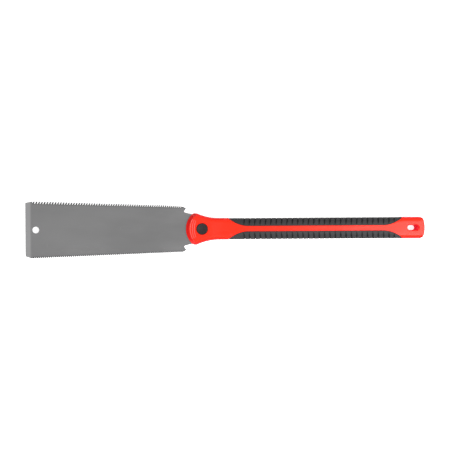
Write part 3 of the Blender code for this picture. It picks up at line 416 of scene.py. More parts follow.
class SharedEffects:
    """Effects that more than one finish uses, each a node group built once."""

    tone_band: tuple[float, float] = (0.3, 0.7)
    finer_by: float = 3.1
    coarse_share: float = 0.65
    middle: float = 0.5
    patch_scale: float = 0.37
    speck_band: tuple[float, float] = (0.5, 0.75)
    upward_band: tuple[float, float] = (0.1, 0.9)

    def __init__(self) -> None:
        """Build the groups."""
        self.drift = self.make_drift()
        self.grain = self.make_grain()
        self.scuffs = self.make_scuffs()
        self.dust = self.make_dust()

    def new_group(self, name: str, inputs: dict[str, float], output: str) -> tuple[NodeBench, Any, Any]:
        """Start a group.

        Args:
            name: The group's name.
            inputs: Its inputs and their values.
            output: Its one output.

        Returns:
            The bench, the input node and the socket that takes the result.
        """
        tree = bpy.data.node_groups.new(name, "ShaderNodeTree")
        for label, value in inputs.items():
            socket = tree.interface.new_socket(label, in_out="INPUT", socket_type="NodeSocketFloat")
            socket.default_value = value
        tree.interface.new_socket(output, in_out="OUTPUT", socket_type="NodeSocketFloat")
        bench = NodeBench(tree)
        given = bench.add("NodeGroupInput")
        result = bench.add("NodeGroupOutput")
        return bench, given, result.inputs[0]

    def stretched(self, bench: NodeBench, given: bpy.types.Node) -> Socket:
        """The place, squeezed along X so that a pattern runs along the saw.

        Args:
            bench: The group's bench.
            given: The group's input node, with its Stretch.

        Returns:
            The squeezed place.
        """
        along, across, up = bench.split(bench.place())
        along = bench.math("DIVIDE", along, given.outputs["Stretch"])
        return bench.add("ShaderNodeCombineXYZ", {0: along, 1: across, 2: up}).outputs[0]

    def make_drift(self) -> bpy.types.NodeTree:
        """Slow changes of tone: coarse noise, 0 to 1.

        Returns:
            The group.
        """
        bench, given, result = self.new_group("tone_drift", {"Scale": 40, "Stretch": 1}, "Tone")
        tone = bench.noise(given.outputs["Scale"], self.stretched(bench, given), detail=3)
        bench.feed(result, bench.remap(tone, *self.tone_band))
        return bench.tree

    def make_grain(self) -> bpy.types.NodeTree:
        """Fine relief: small noise with a smaller one over it.

        Returns:
            The group.
        """
        bench, given, result = self.new_group("fine_grain", {"Scale": 2000, "Stretch": 1}, "Height")
        place, scale = self.stretched(bench, given), given.outputs["Scale"]
        coarse = bench.product(bench.noise(scale, place, detail=2), self.coarse_share)
        fine = bench.noise(bench.product(scale, self.finer_by), place, detail=1)
        bench.feed(result, bench.math("ADD", coarse, bench.product(fine, 1 - self.coarse_share)))
        return bench.tree

    def make_scuffs(self) -> bpy.types.NodeTree:
        """Thin marks: the lines where a noise passes its middle value, broken up by another noise.

        Returns:
            The group.
        """
        inputs = {"Scale": 60, "Stretch": 1, "Width": 0.01, "Share": 0.4}
        bench, given, result = self.new_group("thin_scuffs", inputs, "Mask")
        place, scale = self.stretched(bench, given), given.outputs["Scale"]
        off_middle = bench.math("SUBTRACT", bench.noise(scale, place, detail=1), self.middle)
        share = bench.math("DIVIDE", bench.math("ABSOLUTE", off_middle), given.outputs["Width"])
        line = bench.math("MAXIMUM", bench.math("SUBTRACT", 1.0, share), 0.0)
        patch = bench.noise(bench.product(scale, self.patch_scale), place, detail=2)
        bench.feed(result, bench.product(line, bench.math("LESS_THAN", patch, given.outputs["Share"])))
        return bench.tree

    def make_dust(self) -> bpy.types.NodeTree:
        """Fine specks that lie on what faces up.

        Returns:
            The group.
        """
        bench, given, result = self.new_group("settled_dust", {"Scale": 900, "Amount": 0.3}, "Mask")
        speck = bench.noise(given.outputs["Scale"], bench.place(), detail=4)
        upward = bench.remap(bench.facing_up(), *self.upward_band)
        mask = bench.product(bench.remap(speck, *self.speck_band), upward, given.outputs["Amount"])
        bench.feed(result, mask)
        return bench.tree


def start_material(name: str, metallic: float = 0.0) -> tuple[bpy.types.Material, NodeBench, Any]:
    """A new material.

    Args:
        name: Its name.
        metallic: The shader's own Metallic value.

    Returns:
        The material, a bench on its tree and its Principled shader's inputs.
    """
    material = bpy.data.materials.new(name)
    material.use_nodes = True
    inputs = material.node_tree.nodes["Principled BSDF"].inputs
    inputs["Metallic"].default_value = metallic
    return material, NodeBench(material.node_tree), inputs


def shade(colour: Colour, factor: float) -> tuple[float, ...]:
    """A colour made lighter or darker, as a node takes it."""
    return (*[min(1.0, part * factor) for part in colour], 1.0)


def faded(colour: Colour, share: float) -> tuple[float, ...]:
    """A colour taken a share of the way to white, as a node takes it."""
    return (*[part + (1 - part) * share for part in colour], 1.0)


@dataclass(frozen=True)
class MouldedPlastic:
    """Hard glossy plastic from a mould: painted shade on its slopes, a painted highlight on its raised
    crests, a painted glow on the hanging slot's wall, thinly scuffed.
    """

    name: str
    colour: Colour
    deep: Colour
    roughness: float
    mirror: float
    crest_highlight: float = 0.0
    glow: Colour = (0.0, 0.0, 0.0)
    tones: tuple[float, float] = (0.955, 1.03)
    slopes: tuple[float, float] = (0.55, 0.95)
    crests: tuple[float, float] = (0.1 * MM, 0.4 * MM)
    roughness_spread: float = 0.12
    scuff_mix: float = 0.22
    scuff_fading: float = 0.12
    scuff_roughness: float = 0.2
    dust_fading: float = 0.25
    uprights: tuple[float, float] = (0.2, 0.6)
    fading_out: tuple[float, float] = (0.5 * MM, 1.5 * MM)

    def make(self, effects: SharedEffects) -> bpy.types.Material:
        """Build the material.

        Args:
            effects: The shared node groups.

        Returns:
            The material.
        """
        material, bench, inputs = start_material(self.name)
        tone = bench.group(effects.drift, {"Scale": 34.0, "Stretch": 2.5})
        scuffs = bench.group(effects.scuffs, {"Scale": 130.0, "Stretch": 3.0, "Width": 0.006, "Share": 0.42})
        dust = bench.group(effects.dust, {"Scale": 1400.0, "Amount": 0.12})
        flat = bench.math("ABSOLUTE", bench.facing_up())
        top = bench.blend(tone, *[shade(self.colour, factor) for factor in self.tones])
        # Painted shade: where the surface turns away from flat it takes the deeper, darker colour.
        base = bench.blend(bench.remap(flat, *self.slopes, 1.0, 0.0), top, (*self.deep, 1.0))
        top_level = MIDDLE_Z + HALF_THICKNESS
        # Painted highlight: the raised crests above the top take a paler colour.
        crest = bench.remap(bench.split(bench.place())[2], *[top_level + height for height in self.crests])
        base = bench.blend(crest, base, faded(self.colour, self.crest_highlight))
        worn = bench.blend(bench.product(scuffs, self.scuff_mix), base, faded(self.colour, self.scuff_fading))
        bench.feed(inputs["Base Color"], bench.blend(dust, worn, faded(self.colour, self.dust_fading)))
        spread = [self.roughness * (1 + part * self.roughness_spread) for part in (-1, 1)]
        rough = bench.remap(tone, 0.0, 1.0, *spread)
        worn_rough = bench.product(scuffs, self.scuff_roughness)
        bench.feed(inputs["Roughness"], bench.math("ADD", rough, worn_rough))
        grain = bench.group(effects.grain, {"Scale": 1500.0, "Stretch": 1.0})
        bench.feed(inputs["Normal"], bench.bump(grain, strength=0.07, distance=0.12 * MM))
        inputs["Specular IOR Level"].default_value = self.mirror
        # Painted glow: the slot's wall gives off a faint red light of its own, though it is no lamp.
        if any(self.glow):
            glow = bench.blend(self.slot_wall(bench, flat), BLACK, (*self.glow, 1.0))
            bench.feed(inputs["Emission Color"], glow)
            inputs["Emission Strength"].default_value = 1.0
        return material

    def slot_wall(self, bench: NodeBench, flat: Socket) -> Socket:
        """A mask of the upright wall of the hanging slot, which gets a painted glow standing for light that
        comes through the plastic.

        Args:
            bench: The material's bench.
            flat: 1 where the surface lies flat, 0 where it stands upright.

        Returns:
            1 on the wall, 0 elsewhere.
        """
        along, across, _ = bench.split(bench.place())
        end = NOSE_X + HANDLE_LENGTH - HandleShell.slot_from_butt
        start = end - HandleShell.slot_length
        past_end = [end + margin for margin in self.fading_out]
        past_side = [HandleShell.slot_width / 2 + margin for margin in self.fading_out]
        return bench.product(
            bench.remap(along, start - MM, start), bench.remap(along, *past_end, 1.0, 0.0),
            bench.remap(bench.math("ABSOLUTE", across), *past_side, 1.0, 0.0),
            bench.remap(flat, *self.uprights, 1.0, 0.0))


@dataclass(frozen=True)
class SoftRubber:
    """Matt rubber with a fine skin, painted shade in its grooves and paler where hands rub it."""

    name: str
    colour: Colour
    roughness: float
    dirt: Colour = (0.16, 0.15, 0.15)
    tones: tuple[float, float] = (0.86, 1.16)
    groove_shade_band: tuple[float, float] = (0.05, 0.55)
    groove_shade_tone: float = 0.1
    rubbed_smooth: float = 0.05
    rubbed_rough: float = 0.06
    sunk_roughness: float = 0.15
    mirror: float = 0.3

    def make(self, effects: SharedEffects) -> bpy.types.Material:
        """Build the material.

        Args:
            effects: The shared node groups.

        Returns:
            The material.
        """
        material, bench, inputs = start_material(self.name)
        depth = bench.attribute("groove_depth")
        tone = bench.group(effects.drift, {"Scale": 60.0, "Stretch": 1.6})
        dust = bench.group(effects.dust, {"Scale": 1700.0, "Amount": 0.22})
        base = bench.blend(tone, *[shade(self.colour, factor) for factor in self.tones])
        # Painted shade: the grooves darken towards near black with their depth.
        sunk = bench.blend(bench.remap(depth, *self.groove_shade_band), base, shade(self.colour, self.groove_shade_tone))
        bench.feed(inputs["Base Color"], bench.blend(dust, sunk, (*self.dirt, 1.0)))
        smooth, rough = self.roughness - self.rubbed_smooth, self.roughness + self.rubbed_rough
        rub = bench.remap(tone, 0.0, 1.0, smooth, rough)
        bench.feed(inputs["Roughness"], bench.math("ADD", rub, bench.product(depth, self.sunk_roughness)))
        grain = bench.group(effects.grain, {"Scale": 2600.0, "Stretch": 1.0})
        bench.feed(inputs["Normal"], bench.bump(grain, strength=0.3, distance=0.15 * MM))
        inputs["Specular IOR Level"].default_value = self.mirror
        return material


@dataclass(frozen=True)
class GroundSteel:
    """The blade's steel: ground along its length; its teeth dark, partly for the hardened steel and partly as
    painted shade of their filed bevels; a painted highlight at the tip and painted shade towards the heel.
    """

    name: str
    colour: Colour
    hardened_and_shaded: Colour
    roughness: float
    tooth_line: tuple[float, float] = (-0.1 * MM, 0.2 * MM)
    bevel_shade_line: tuple[float, float] = (-2.6 * MM, -0.4 * MM)
    bevel_shade_mix: float = 0.2
    even_tip: float = 30 * MM
    heel_shade_tone: float = 0.88
    tip_line: tuple[float, float] = (6 * MM, 9.5 * MM)
    tip_highlight_tone: float = 1.46
    drift_mix: float = 0.35
    drift_tone: float = 1.12
    scuff_mix: float = 0.25
    scuff_tone: float = 1.45
    streak_band: tuple[float, float] = (0.35, 0.65)
    streak_smooth: float = 0.04
    streak_rough: float = 0.05

    def toothed(self, bench: NodeBench, along: Socket, outward: Socket, blade: "ToothedBlade",
                row: "ToothRow") -> tuple[Socket, Socket]:
        """Masks of one toothed edge, from the distance beyond the line of its gullets.

        Args:
            bench: The material's bench.
            along: The place along the blade.
            outward: The place across it, towards this edge.
            blade: The blade.
            row: The edge's teeth.

        Returns:
            1 on the teeth, and a soft rise to 1 along the band inside them, which carries painted shade of
            the filed bevels.
        """
        start = NOSE_X - BLADE_REACH + blade.lead_in
        inputs = {"Value": along, "From Min": start, "From Max": NOSE_X - row.setback,
                  "To Min": blade.first_half - row.depths[0], "To Max": blade.last_half - row.depths[1]}
        gullets = bench.add("ShaderNodeMapRange", inputs).outputs[0]
        beyond = bench.math("SUBTRACT", outward, gullets)
        after_lead_in = bench.math("GREATER_THAN", along, start)
        teeth = bench.product(bench.remap(beyond, *self.tooth_line), after_lead_in)
        return teeth, bench.product(bench.remap(beyond, *self.bevel_shade_line), after_lead_in)

    def make(self, effects: SharedEffects, blade: "ToothedBlade") -> bpy.types.Material:
        """Build the material.

        Args:
            effects: The shared node groups.
            blade: The blade that it goes on.

        Returns:
            The material.
        """
        material, bench, inputs = start_material(self.name, 1.0)
        along, across, _ = bench.split(bench.place())
        tip = NOSE_X - BLADE_REACH
        # Painted shade that darkens towards the heel, and a painted highlight that brightens the band at the
        # tip.
        shade_to_heel = bench.remap(along, tip + self.even_tip, NOSE_X)
        tip_highlight_band = bench.remap(along, *[tip + line for line in self.tip_line], 1.0, 0.0)
        tone = bench.group(effects.drift, {"Scale": 30.0, "Stretch": 3.0})
        scuffs = bench.group(effects.scuffs, {"Scale": 90.0, "Stretch": 6.0, "Width": 0.004, "Share": 0.45})
        drifted, scuffed = bench.product(tone, self.drift_mix), bench.product(scuffs, self.scuff_mix)
        tones = ((shade_to_heel, self.heel_shade_tone), (drifted, self.drift_tone),
                 (tip_highlight_band, self.tip_highlight_tone), (scuffed, self.scuff_tone))
        base = shade(self.colour, 1.0)
        for share, factor in tones:
            base = bench.blend(share, base, shade(self.colour, factor))
        upper = self.toothed(bench, along, across, blade, blade.coarse)
        lower = self.toothed(bench, along, bench.product(across, -1.0), blade, blade.fine)
        # The teeth take the dark colour, partly the dark of hardened steel and partly painted shade of their
        # filed bevels; the band inside them gets a little painted bevel shade.
        teeth, band = [bench.math("MAXIMUM", *pair) for pair in zip(upper, lower)]
        for share in (bench.product(band, self.bevel_shade_mix), teeth):
            base = bench.blend(share, base, (*self.hardened_and_shaded, 1.0))
        bench.feed(inputs["Base Color"], base)
        streaks = bench.group(effects.grain, {"Scale": 900.0, "Stretch": 24.0})
        smooth, rough = self.roughness - self.streak_smooth, self.roughness + self.streak_rough
        rough = bench.remap(streaks, *self.streak_band, smooth, rough)
        bench.feed(inputs["Roughness"], bench.math("ADD", rough, bench.product(tone, self.streak_rough)))
        bench.feed(inputs["Normal"], bench.bump(streaks, strength=0.12, distance=0.04 * MM))
        return material


@dataclass(frozen=True)
class PlatedSteel:
    """Small steel pieces: rolled, turned or plated, with a slightly uneven surface."""

    name: str
    colour: Colour
    roughness: float
    grain_scale: float
    stretch: float = 1.0
    tones: tuple[float, float] = (0.85, 1.1)
    scuff_mix: float = 0.4
    scuff_tone: float = 1.4
    roughness_range: tuple[float, float] = (0.85, 1.2)

    def make(self, effects: SharedEffects) -> bpy.types.Material:
        """Build the material.

        Args:
            effects: The shared node groups.

        Returns:
            The material.
        """
        material, bench, inputs = start_material(self.name, 1.0)
        tone = bench.group(effects.drift, {"Scale": 210.0, "Stretch": 1.0})
        scuffs = bench.group(effects.scuffs, {"Scale": 380.0, "Stretch": 1.5, "Width": 0.01, "Share": 0.45})
        base = bench.blend(tone, *[shade(self.colour, factor) for factor in self.tones])
        scuffed = bench.product(scuffs, self.scuff_mix)
        bench.feed(inputs["Base Color"], bench.blend(scuffed, base, shade(self.colour, self.scuff_tone)))
        spread = [self.roughness * factor for factor in self.roughness_range]
        bench.feed(inputs["Roughness"], bench.remap(tone, 0.0, 1.0, *spread))
        grain = bench.group(effects.grain, {"Scale": self.grain_scale, "Stretch": self.stretch})
        bench.feed(inputs["Normal"], bench.bump(grain, strength=0.15, distance=0.05 * MM))
        return material


# Painted light in the plastics: the deep colours are painted shade on slopes, the paler crests a painted
# highlight, and the red's glow a painted glow on the slot's wall.
RED_PLASTIC = MouldedPlastic("red_moulded_plastic", (0.97, 0.021, 0.0018), (0.93, 0.002, 0.001),
                             roughness=0.3, mirror=0.26, crest_highlight=0.09, glow=(0.11, 0.01, 0.022))
GRIP_RUBBER = SoftRubber("grip_rubber", (0.0255, 0.0248, 0.0262), roughness=0.6)
BUTTON_PLASTIC = MouldedPlastic("button_plastic", (0.0145, 0.0085, 0.009), (0.01, 0.006, 0.006),
                                roughness=0.42, mirror=0.28)
BLADE_STEEL = GroundSteel("blade_steel", (0.208, 0.208, 0.209), (0.028, 0.028, 0.029), roughness=0.36)
SPRING_STEEL = PlatedSteel("blued_spring_steel", (0.2, 0.23, 0.3), roughness=0.3, grain_scale=1400.0,
                           stretch=12.0)
LINER_STEEL = PlatedSteel("rolled_liner_steel", (0.42, 0.42, 0.41), roughness=0.38, grain_scale=1200.0,
                          stretch=18.0)
TURNED_STEEL = PlatedSteel("turned_steel", (0.5, 0.5, 0.5), roughness=0.28, grain_scale=2200.0)
ZINC_PLATE = PlatedSteel("zinc_plated_steel", (0.5, 0.51, 0.49), roughness=0.32, grain_scale=1800.0)


# Handle
@dataclass(frozen=True)
class HandleForm:
    """The outer form of the handle, which the shells, the grips and their pockets share.

    Seen from above, half the outline is an arc about the nose, a corner arc, an arc that runs
    into the parallel sides, a corner arc and the butt's arc. In section a side stands upright to
    the side height. From there the height at a distance d in from the outline is
    side + rise (1 - (1 - d / a)^n)^(1 / n), with a the edge's depth; n is 1 at the nose, which
    makes a slanted lip, and 2 elsewhere, which makes a round edge.
    """

    nose_radius: float = 31 * MM
    head_half: float = 23.7 * MM
    head_corner_radius: float = 8 * MM
    neck_start: float = 50 * MM
    butt_radius: float = 44 * MM
    butt_corner_radius: float = 6.3 * MM
    least_corner_radius: float = 1 * MM
    wall: float = 2.4 * MM
    thick_wall: float = 4.5 * MM
    lip_depth: float = 5.5 * MM
    lip_end: float = 9 * MM
    head_edge_depth: float = 6.5 * MM
    head_round_from: float = 23.6 * MM
    head_side_height: float = 3.5 * MM
    grip_side_height: float = 2 * MM
    butt_edge_depth: float = 7 * MM
    butt_end_depth: float = 3.4 * MM
    neck_dip: float = 1.1 * MM
    dip_from: float = 34.9 * MM
    spine_half: float = 4.15 * MM
    grip_front: float = 63 * MM
    grip_rear: float = HANDLE_LENGTH - 33.5 * MM
    grip_sweep: float = 30 * MM
    blunt_end: float = 1.5 * MM
    arc_steps: int = 48
    corner_steps: int = 16
    flare_steps: int = 40
    side_steps: int = 170
    edge_steps: int = 24
    top_rows: int = 4
    top_row_gap: float = 0.5 * MM
    thin_to_thick: float = 7.2 * MM
    side_levels: tuple[float, ...] = (0, 0.25, 0.5, 0.75, 0.9)
    softening: tuple[int, ...] = (1, 2, 3, 2, 1)

    @property
    def neck_half(self) -> float:
        """Half the width of the neck: the grips lie a set-back inside it."""
        return NECK_HALF + RubberGrip.set_back

    @property
    def grip_edge_depth(self) -> float:
        """How far in the rounded edge reaches along the grips."""
        return self.neck_half - self.spine_half + SEAT_GAP

    def nose_corner(self, inset: Array) -> tuple[Array, ...]:
        """The head's corner arc and the flare behind it.

        Args:
            inset: How far the outline is pushed inwards.

        Returns:
            The corner's radius, its centre's x and y, its first and last angle, the flare's radius.
        """
        radius = np.maximum(self.head_corner_radius - inset, self.least_corner_radius)
        centre_y = self.head_half - inset - radius
        reach = self.nose_radius - inset - radius
        centre_x = self.nose_radius - np.sqrt(reach ** 2 - centre_y ** 2)
        first = np.arctan2(centre_y, self.nose_radius - centre_x)
        run = self.neck_start - centre_x
        drop = self.neck_half - inset - centre_y
        flare = (run ** 2 + drop ** 2 - radius ** 2) / (2 * (radius - drop))
        return radius, centre_x, centre_y, first, math.pi - np.arctan2(drop + flare, run), flare

    def butt_corner(self, inset: Array) -> tuple[Array, ...]:
        """The butt's corner arc.

        Args:
            inset: How far the outline is pushed inwards.

        Returns:
            The radius, the centre's x and y, and the angle where the butt's arc takes over.
        """
        radius = np.maximum(self.butt_corner_radius - inset, self.least_corner_radius)
        end_centre = HANDLE_LENGTH - self.butt_radius
        centre_y = self.neck_half - inset - radius
        reach = self.butt_radius - inset - radius
        centre_x = end_centre + np.sqrt(reach ** 2 - centre_y ** 2)
        return radius, centre_x, centre_y, np.arctan2(centre_y, centre_x - end_centre)

    def plan(self, inset: Array | float) -> Array:
        """Half the outline from nose to butt, pushed inwards.

        Args:
            inset: One number, or one for each station.

        Returns:
            Stations by 2. Each arc is centre + radius (cos, sin) of the outward normal's angle.
        """
        corner_x = self.butt_corner(np.zeros(1))[1]
        side_x = np.linspace(self.neck_start, corner_x[0], self.side_steps, endpoint=False)
        counts = [self.arc_steps, self.corner_steps, self.flare_steps, self.side_steps,
                  self.corner_steps, self.arc_steps]
        inset = np.broadcast_to(inset, sum(counts))
        parts = np.split(inset, np.cumsum(counts)[:-1])
        share = [np.arange(count) / count for count in counts]

        angle = self.nose_corner(parts[0])[3] * share[0]
        radius = self.nose_radius - parts[0]
        nose = (self.nose_radius - radius * np.cos(angle), radius * np.sin(angle))
        radius, x, y, first, last, _ = self.nose_corner(parts[1])
        angle = first + (last - first) * share[1]
        corner = (x - radius * np.cos(angle), y + radius * np.sin(angle))
        *_, last, flare = self.nose_corner(parts[2])
        angle = last + (SQUARE - last) * share[2]
        waist = (self.neck_start + flare * np.cos(angle),
                 self.neck_half - parts[2] + flare * (1 - np.sin(angle)))
        drawn_in = (corner_x - self.butt_corner(parts[3])[1]) * ramp(side_x, self.grip_rear, corner_x)
        side = (side_x - drawn_in, self.neck_half - parts[3])
        radius, x, y, last = self.butt_corner(parts[4])
        angle = SQUARE + (last - SQUARE) * share[4]
        heel = (x + radius * np.cos(angle), y + radius * np.sin(angle))
        angle = self.butt_corner(parts[5])[3] * (1 - np.arange(counts[5]) / (counts[5] - 1))
        radius = self.butt_radius - parts[5]
        end = (HANDLE_LENGTH - self.butt_radius + radius * np.cos(angle), radius * np.sin(angle))
        runs = (nose, corner, waist, side, heel, end)
        return np.stack([np.concatenate([run[axis] for run in runs]) for axis in (0, 1)], axis=1)

    def grip_share(self, x: Array) -> Array:
        """1 along the grips, 0 at the head and the butt."""
        rise = ramp(x, self.neck_start, self.grip_front + self.grip_sweep)
        return rise * (1 - ramp(x, self.grip_rear - self.grip_sweep, self.grip_rear + self.blunt_end))

    def edge_depth(self, x: Array) -> Array:
        """How far in from the outline the edge reaches.

        Args:
            x: Distance from the nose.

        Returns:
            The depth at the head or the butt, led over to the depth at the grips.
        """
        growth = ramp(x, self.lip_end, self.head_round_from)
        head = self.lip_depth + (self.head_edge_depth - self.lip_depth) * growth
        corner = HANDLE_LENGTH - self.butt_corner_radius
        fall = ramp(x, corner, corner + self.butt_corner_radius / 2)
        butt = self.butt_edge_depth + (self.butt_end_depth - self.butt_edge_depth) * fall
        plain = np.where(x < HANDLE_LENGTH / 2, head, butt)
        return plain + (self.grip_edge_depth - plain) * self.grip_share(x)

    def side_height(self, x: Array) -> Array:
        """Height of the upright side."""
        return self.head_side_height + (self.grip_side_height - self.head_side_height) * self.grip_share(x)

    def top_height(self, x: Array) -> Array:
        """Height of the flat top.

        Args:
            x: Distance from the nose.

        Returns:
            Half the thickness, lower at the neck.
        """
        fall = ramp(x, self.dip_from, self.grip_front - self.thin_to_thick)
        rise = ramp(x, self.grip_front, self.grip_front + self.grip_sweep)
        return HALF_THICKNESS - self.neck_dip * fall * (1 - rise)

    def wall_at(self, x: Array) -> Array:
        """Thickness of the shell's wall.

        Args:
            x: Distance from the nose.

        Returns:
            The thickness, greater under the grips.
        """
        thick = ramp(x, self.grip_front - self.thin_to_thick, self.grip_front - self.wall)
        thin = ramp(x, self.grip_rear + self.wall, self.grip_rear + self.thin_to_thick)
        return self.wall + (self.thick_wall - self.wall) * thick * (1 - thin)

    def skin(self, wall: Array, steps: int) -> Array:
        """One side of a shell's skin, from the parting line over the edge to the flat top.

        Args:
            wall: How far inside the outer face the skin lies, for each station.
            steps: Facets of the edge.

        Returns:
            Stations by rows by 3. Corners are softened: a row between others is the weighted mean
            of itself and its neighbours.
        """
        x = self.plan(0)[:, 0]
        depth = self.edge_depth(x) - wall
        side = self.side_height(x)
        rise = self.top_height(x) - side - wall
        power = 1 + ramp(x, self.lip_end, self.head_round_from)
        rows = [np.column_stack([self.plan(wall), PARTING + (side - PARTING) * share])
                for share in self.side_levels]
        for turn in quarter(steps):
            share = 1 - math.cos(turn)
            height = side + rise * (1 - (1 - share) ** power) ** (1 / power)
            rows.append(np.column_stack([self.plan(wall + depth * share), height]))
        for row in range(1, self.top_rows + 1):
            rows.append(np.column_stack([self.plan(wall + depth + row * self.top_row_gap), side + rise]))
        skin = np.stack(rows, axis=1)
        kernel = np.array(self.softening) / sum(self.softening)
        count = skin.shape[1]
        skin[:, 2:-2] = sum(part * skin[:, i:count - 4 + i] for i, part in enumerate(kernel))
        return skin

    def flank(self, x: Array, turn: Array, inward: Array | float) -> Array:
        """Points by the grips' edge.

        Args:
            x: Distance from the nose.
            turn: Angle on the quarter ellipse of the section, 0 at the side and a right angle at
                the spine.
            inward: How far below the surface.

        Returns:
            Points, with y = neck half - a (1 - cos turn) and z = side + rise sin turn, moved in
            along the ellipse's normal (cos turn / a, sin turn / rise).
        """
        depth = self.edge_depth(x)
        side = self.side_height(x)
        rise = self.top_height(x) - side
        normal = np.stack([np.cos(turn) / depth, np.sin(turn) / rise])
        normal = normal / np.linalg.norm(normal, axis=0) * inward
        y = self.neck_half - depth * (1 - np.cos(turn)) - normal[0]
        return np.stack([x + 0 * turn, y, side + rise * np.sin(turn) - normal[1]], axis=-1)

    def spine_turn(self, x: Array, gap: float) -> tuple[Array, Array]:
        """Where the red spine ends on the section's ellipse.

        Args:
            x: Distance from the nose.
            gap: How far towards the spine from its edge.

        Returns:
            The angle there, and the length of surface for each radian.
        """
        front = np.clip(1 - (x - self.grip_front) / self.grip_sweep, 0, 1)
        rear = np.clip(1 - (self.grip_rear - x) / self.grip_sweep, 0, 1)
        edge = self.spine_half + (self.neck_half - self.spine_half) * np.maximum(front, rear) ** 2 - gap
        depth = self.edge_depth(x)
        rise = self.top_height(x) - self.side_height(x)
        turn = np.arccos(np.clip(1 - (self.neck_half - edge) / depth, 0, 1))
        return turn, np.hypot(depth * np.sin(turn), rise * np.cos(turn))


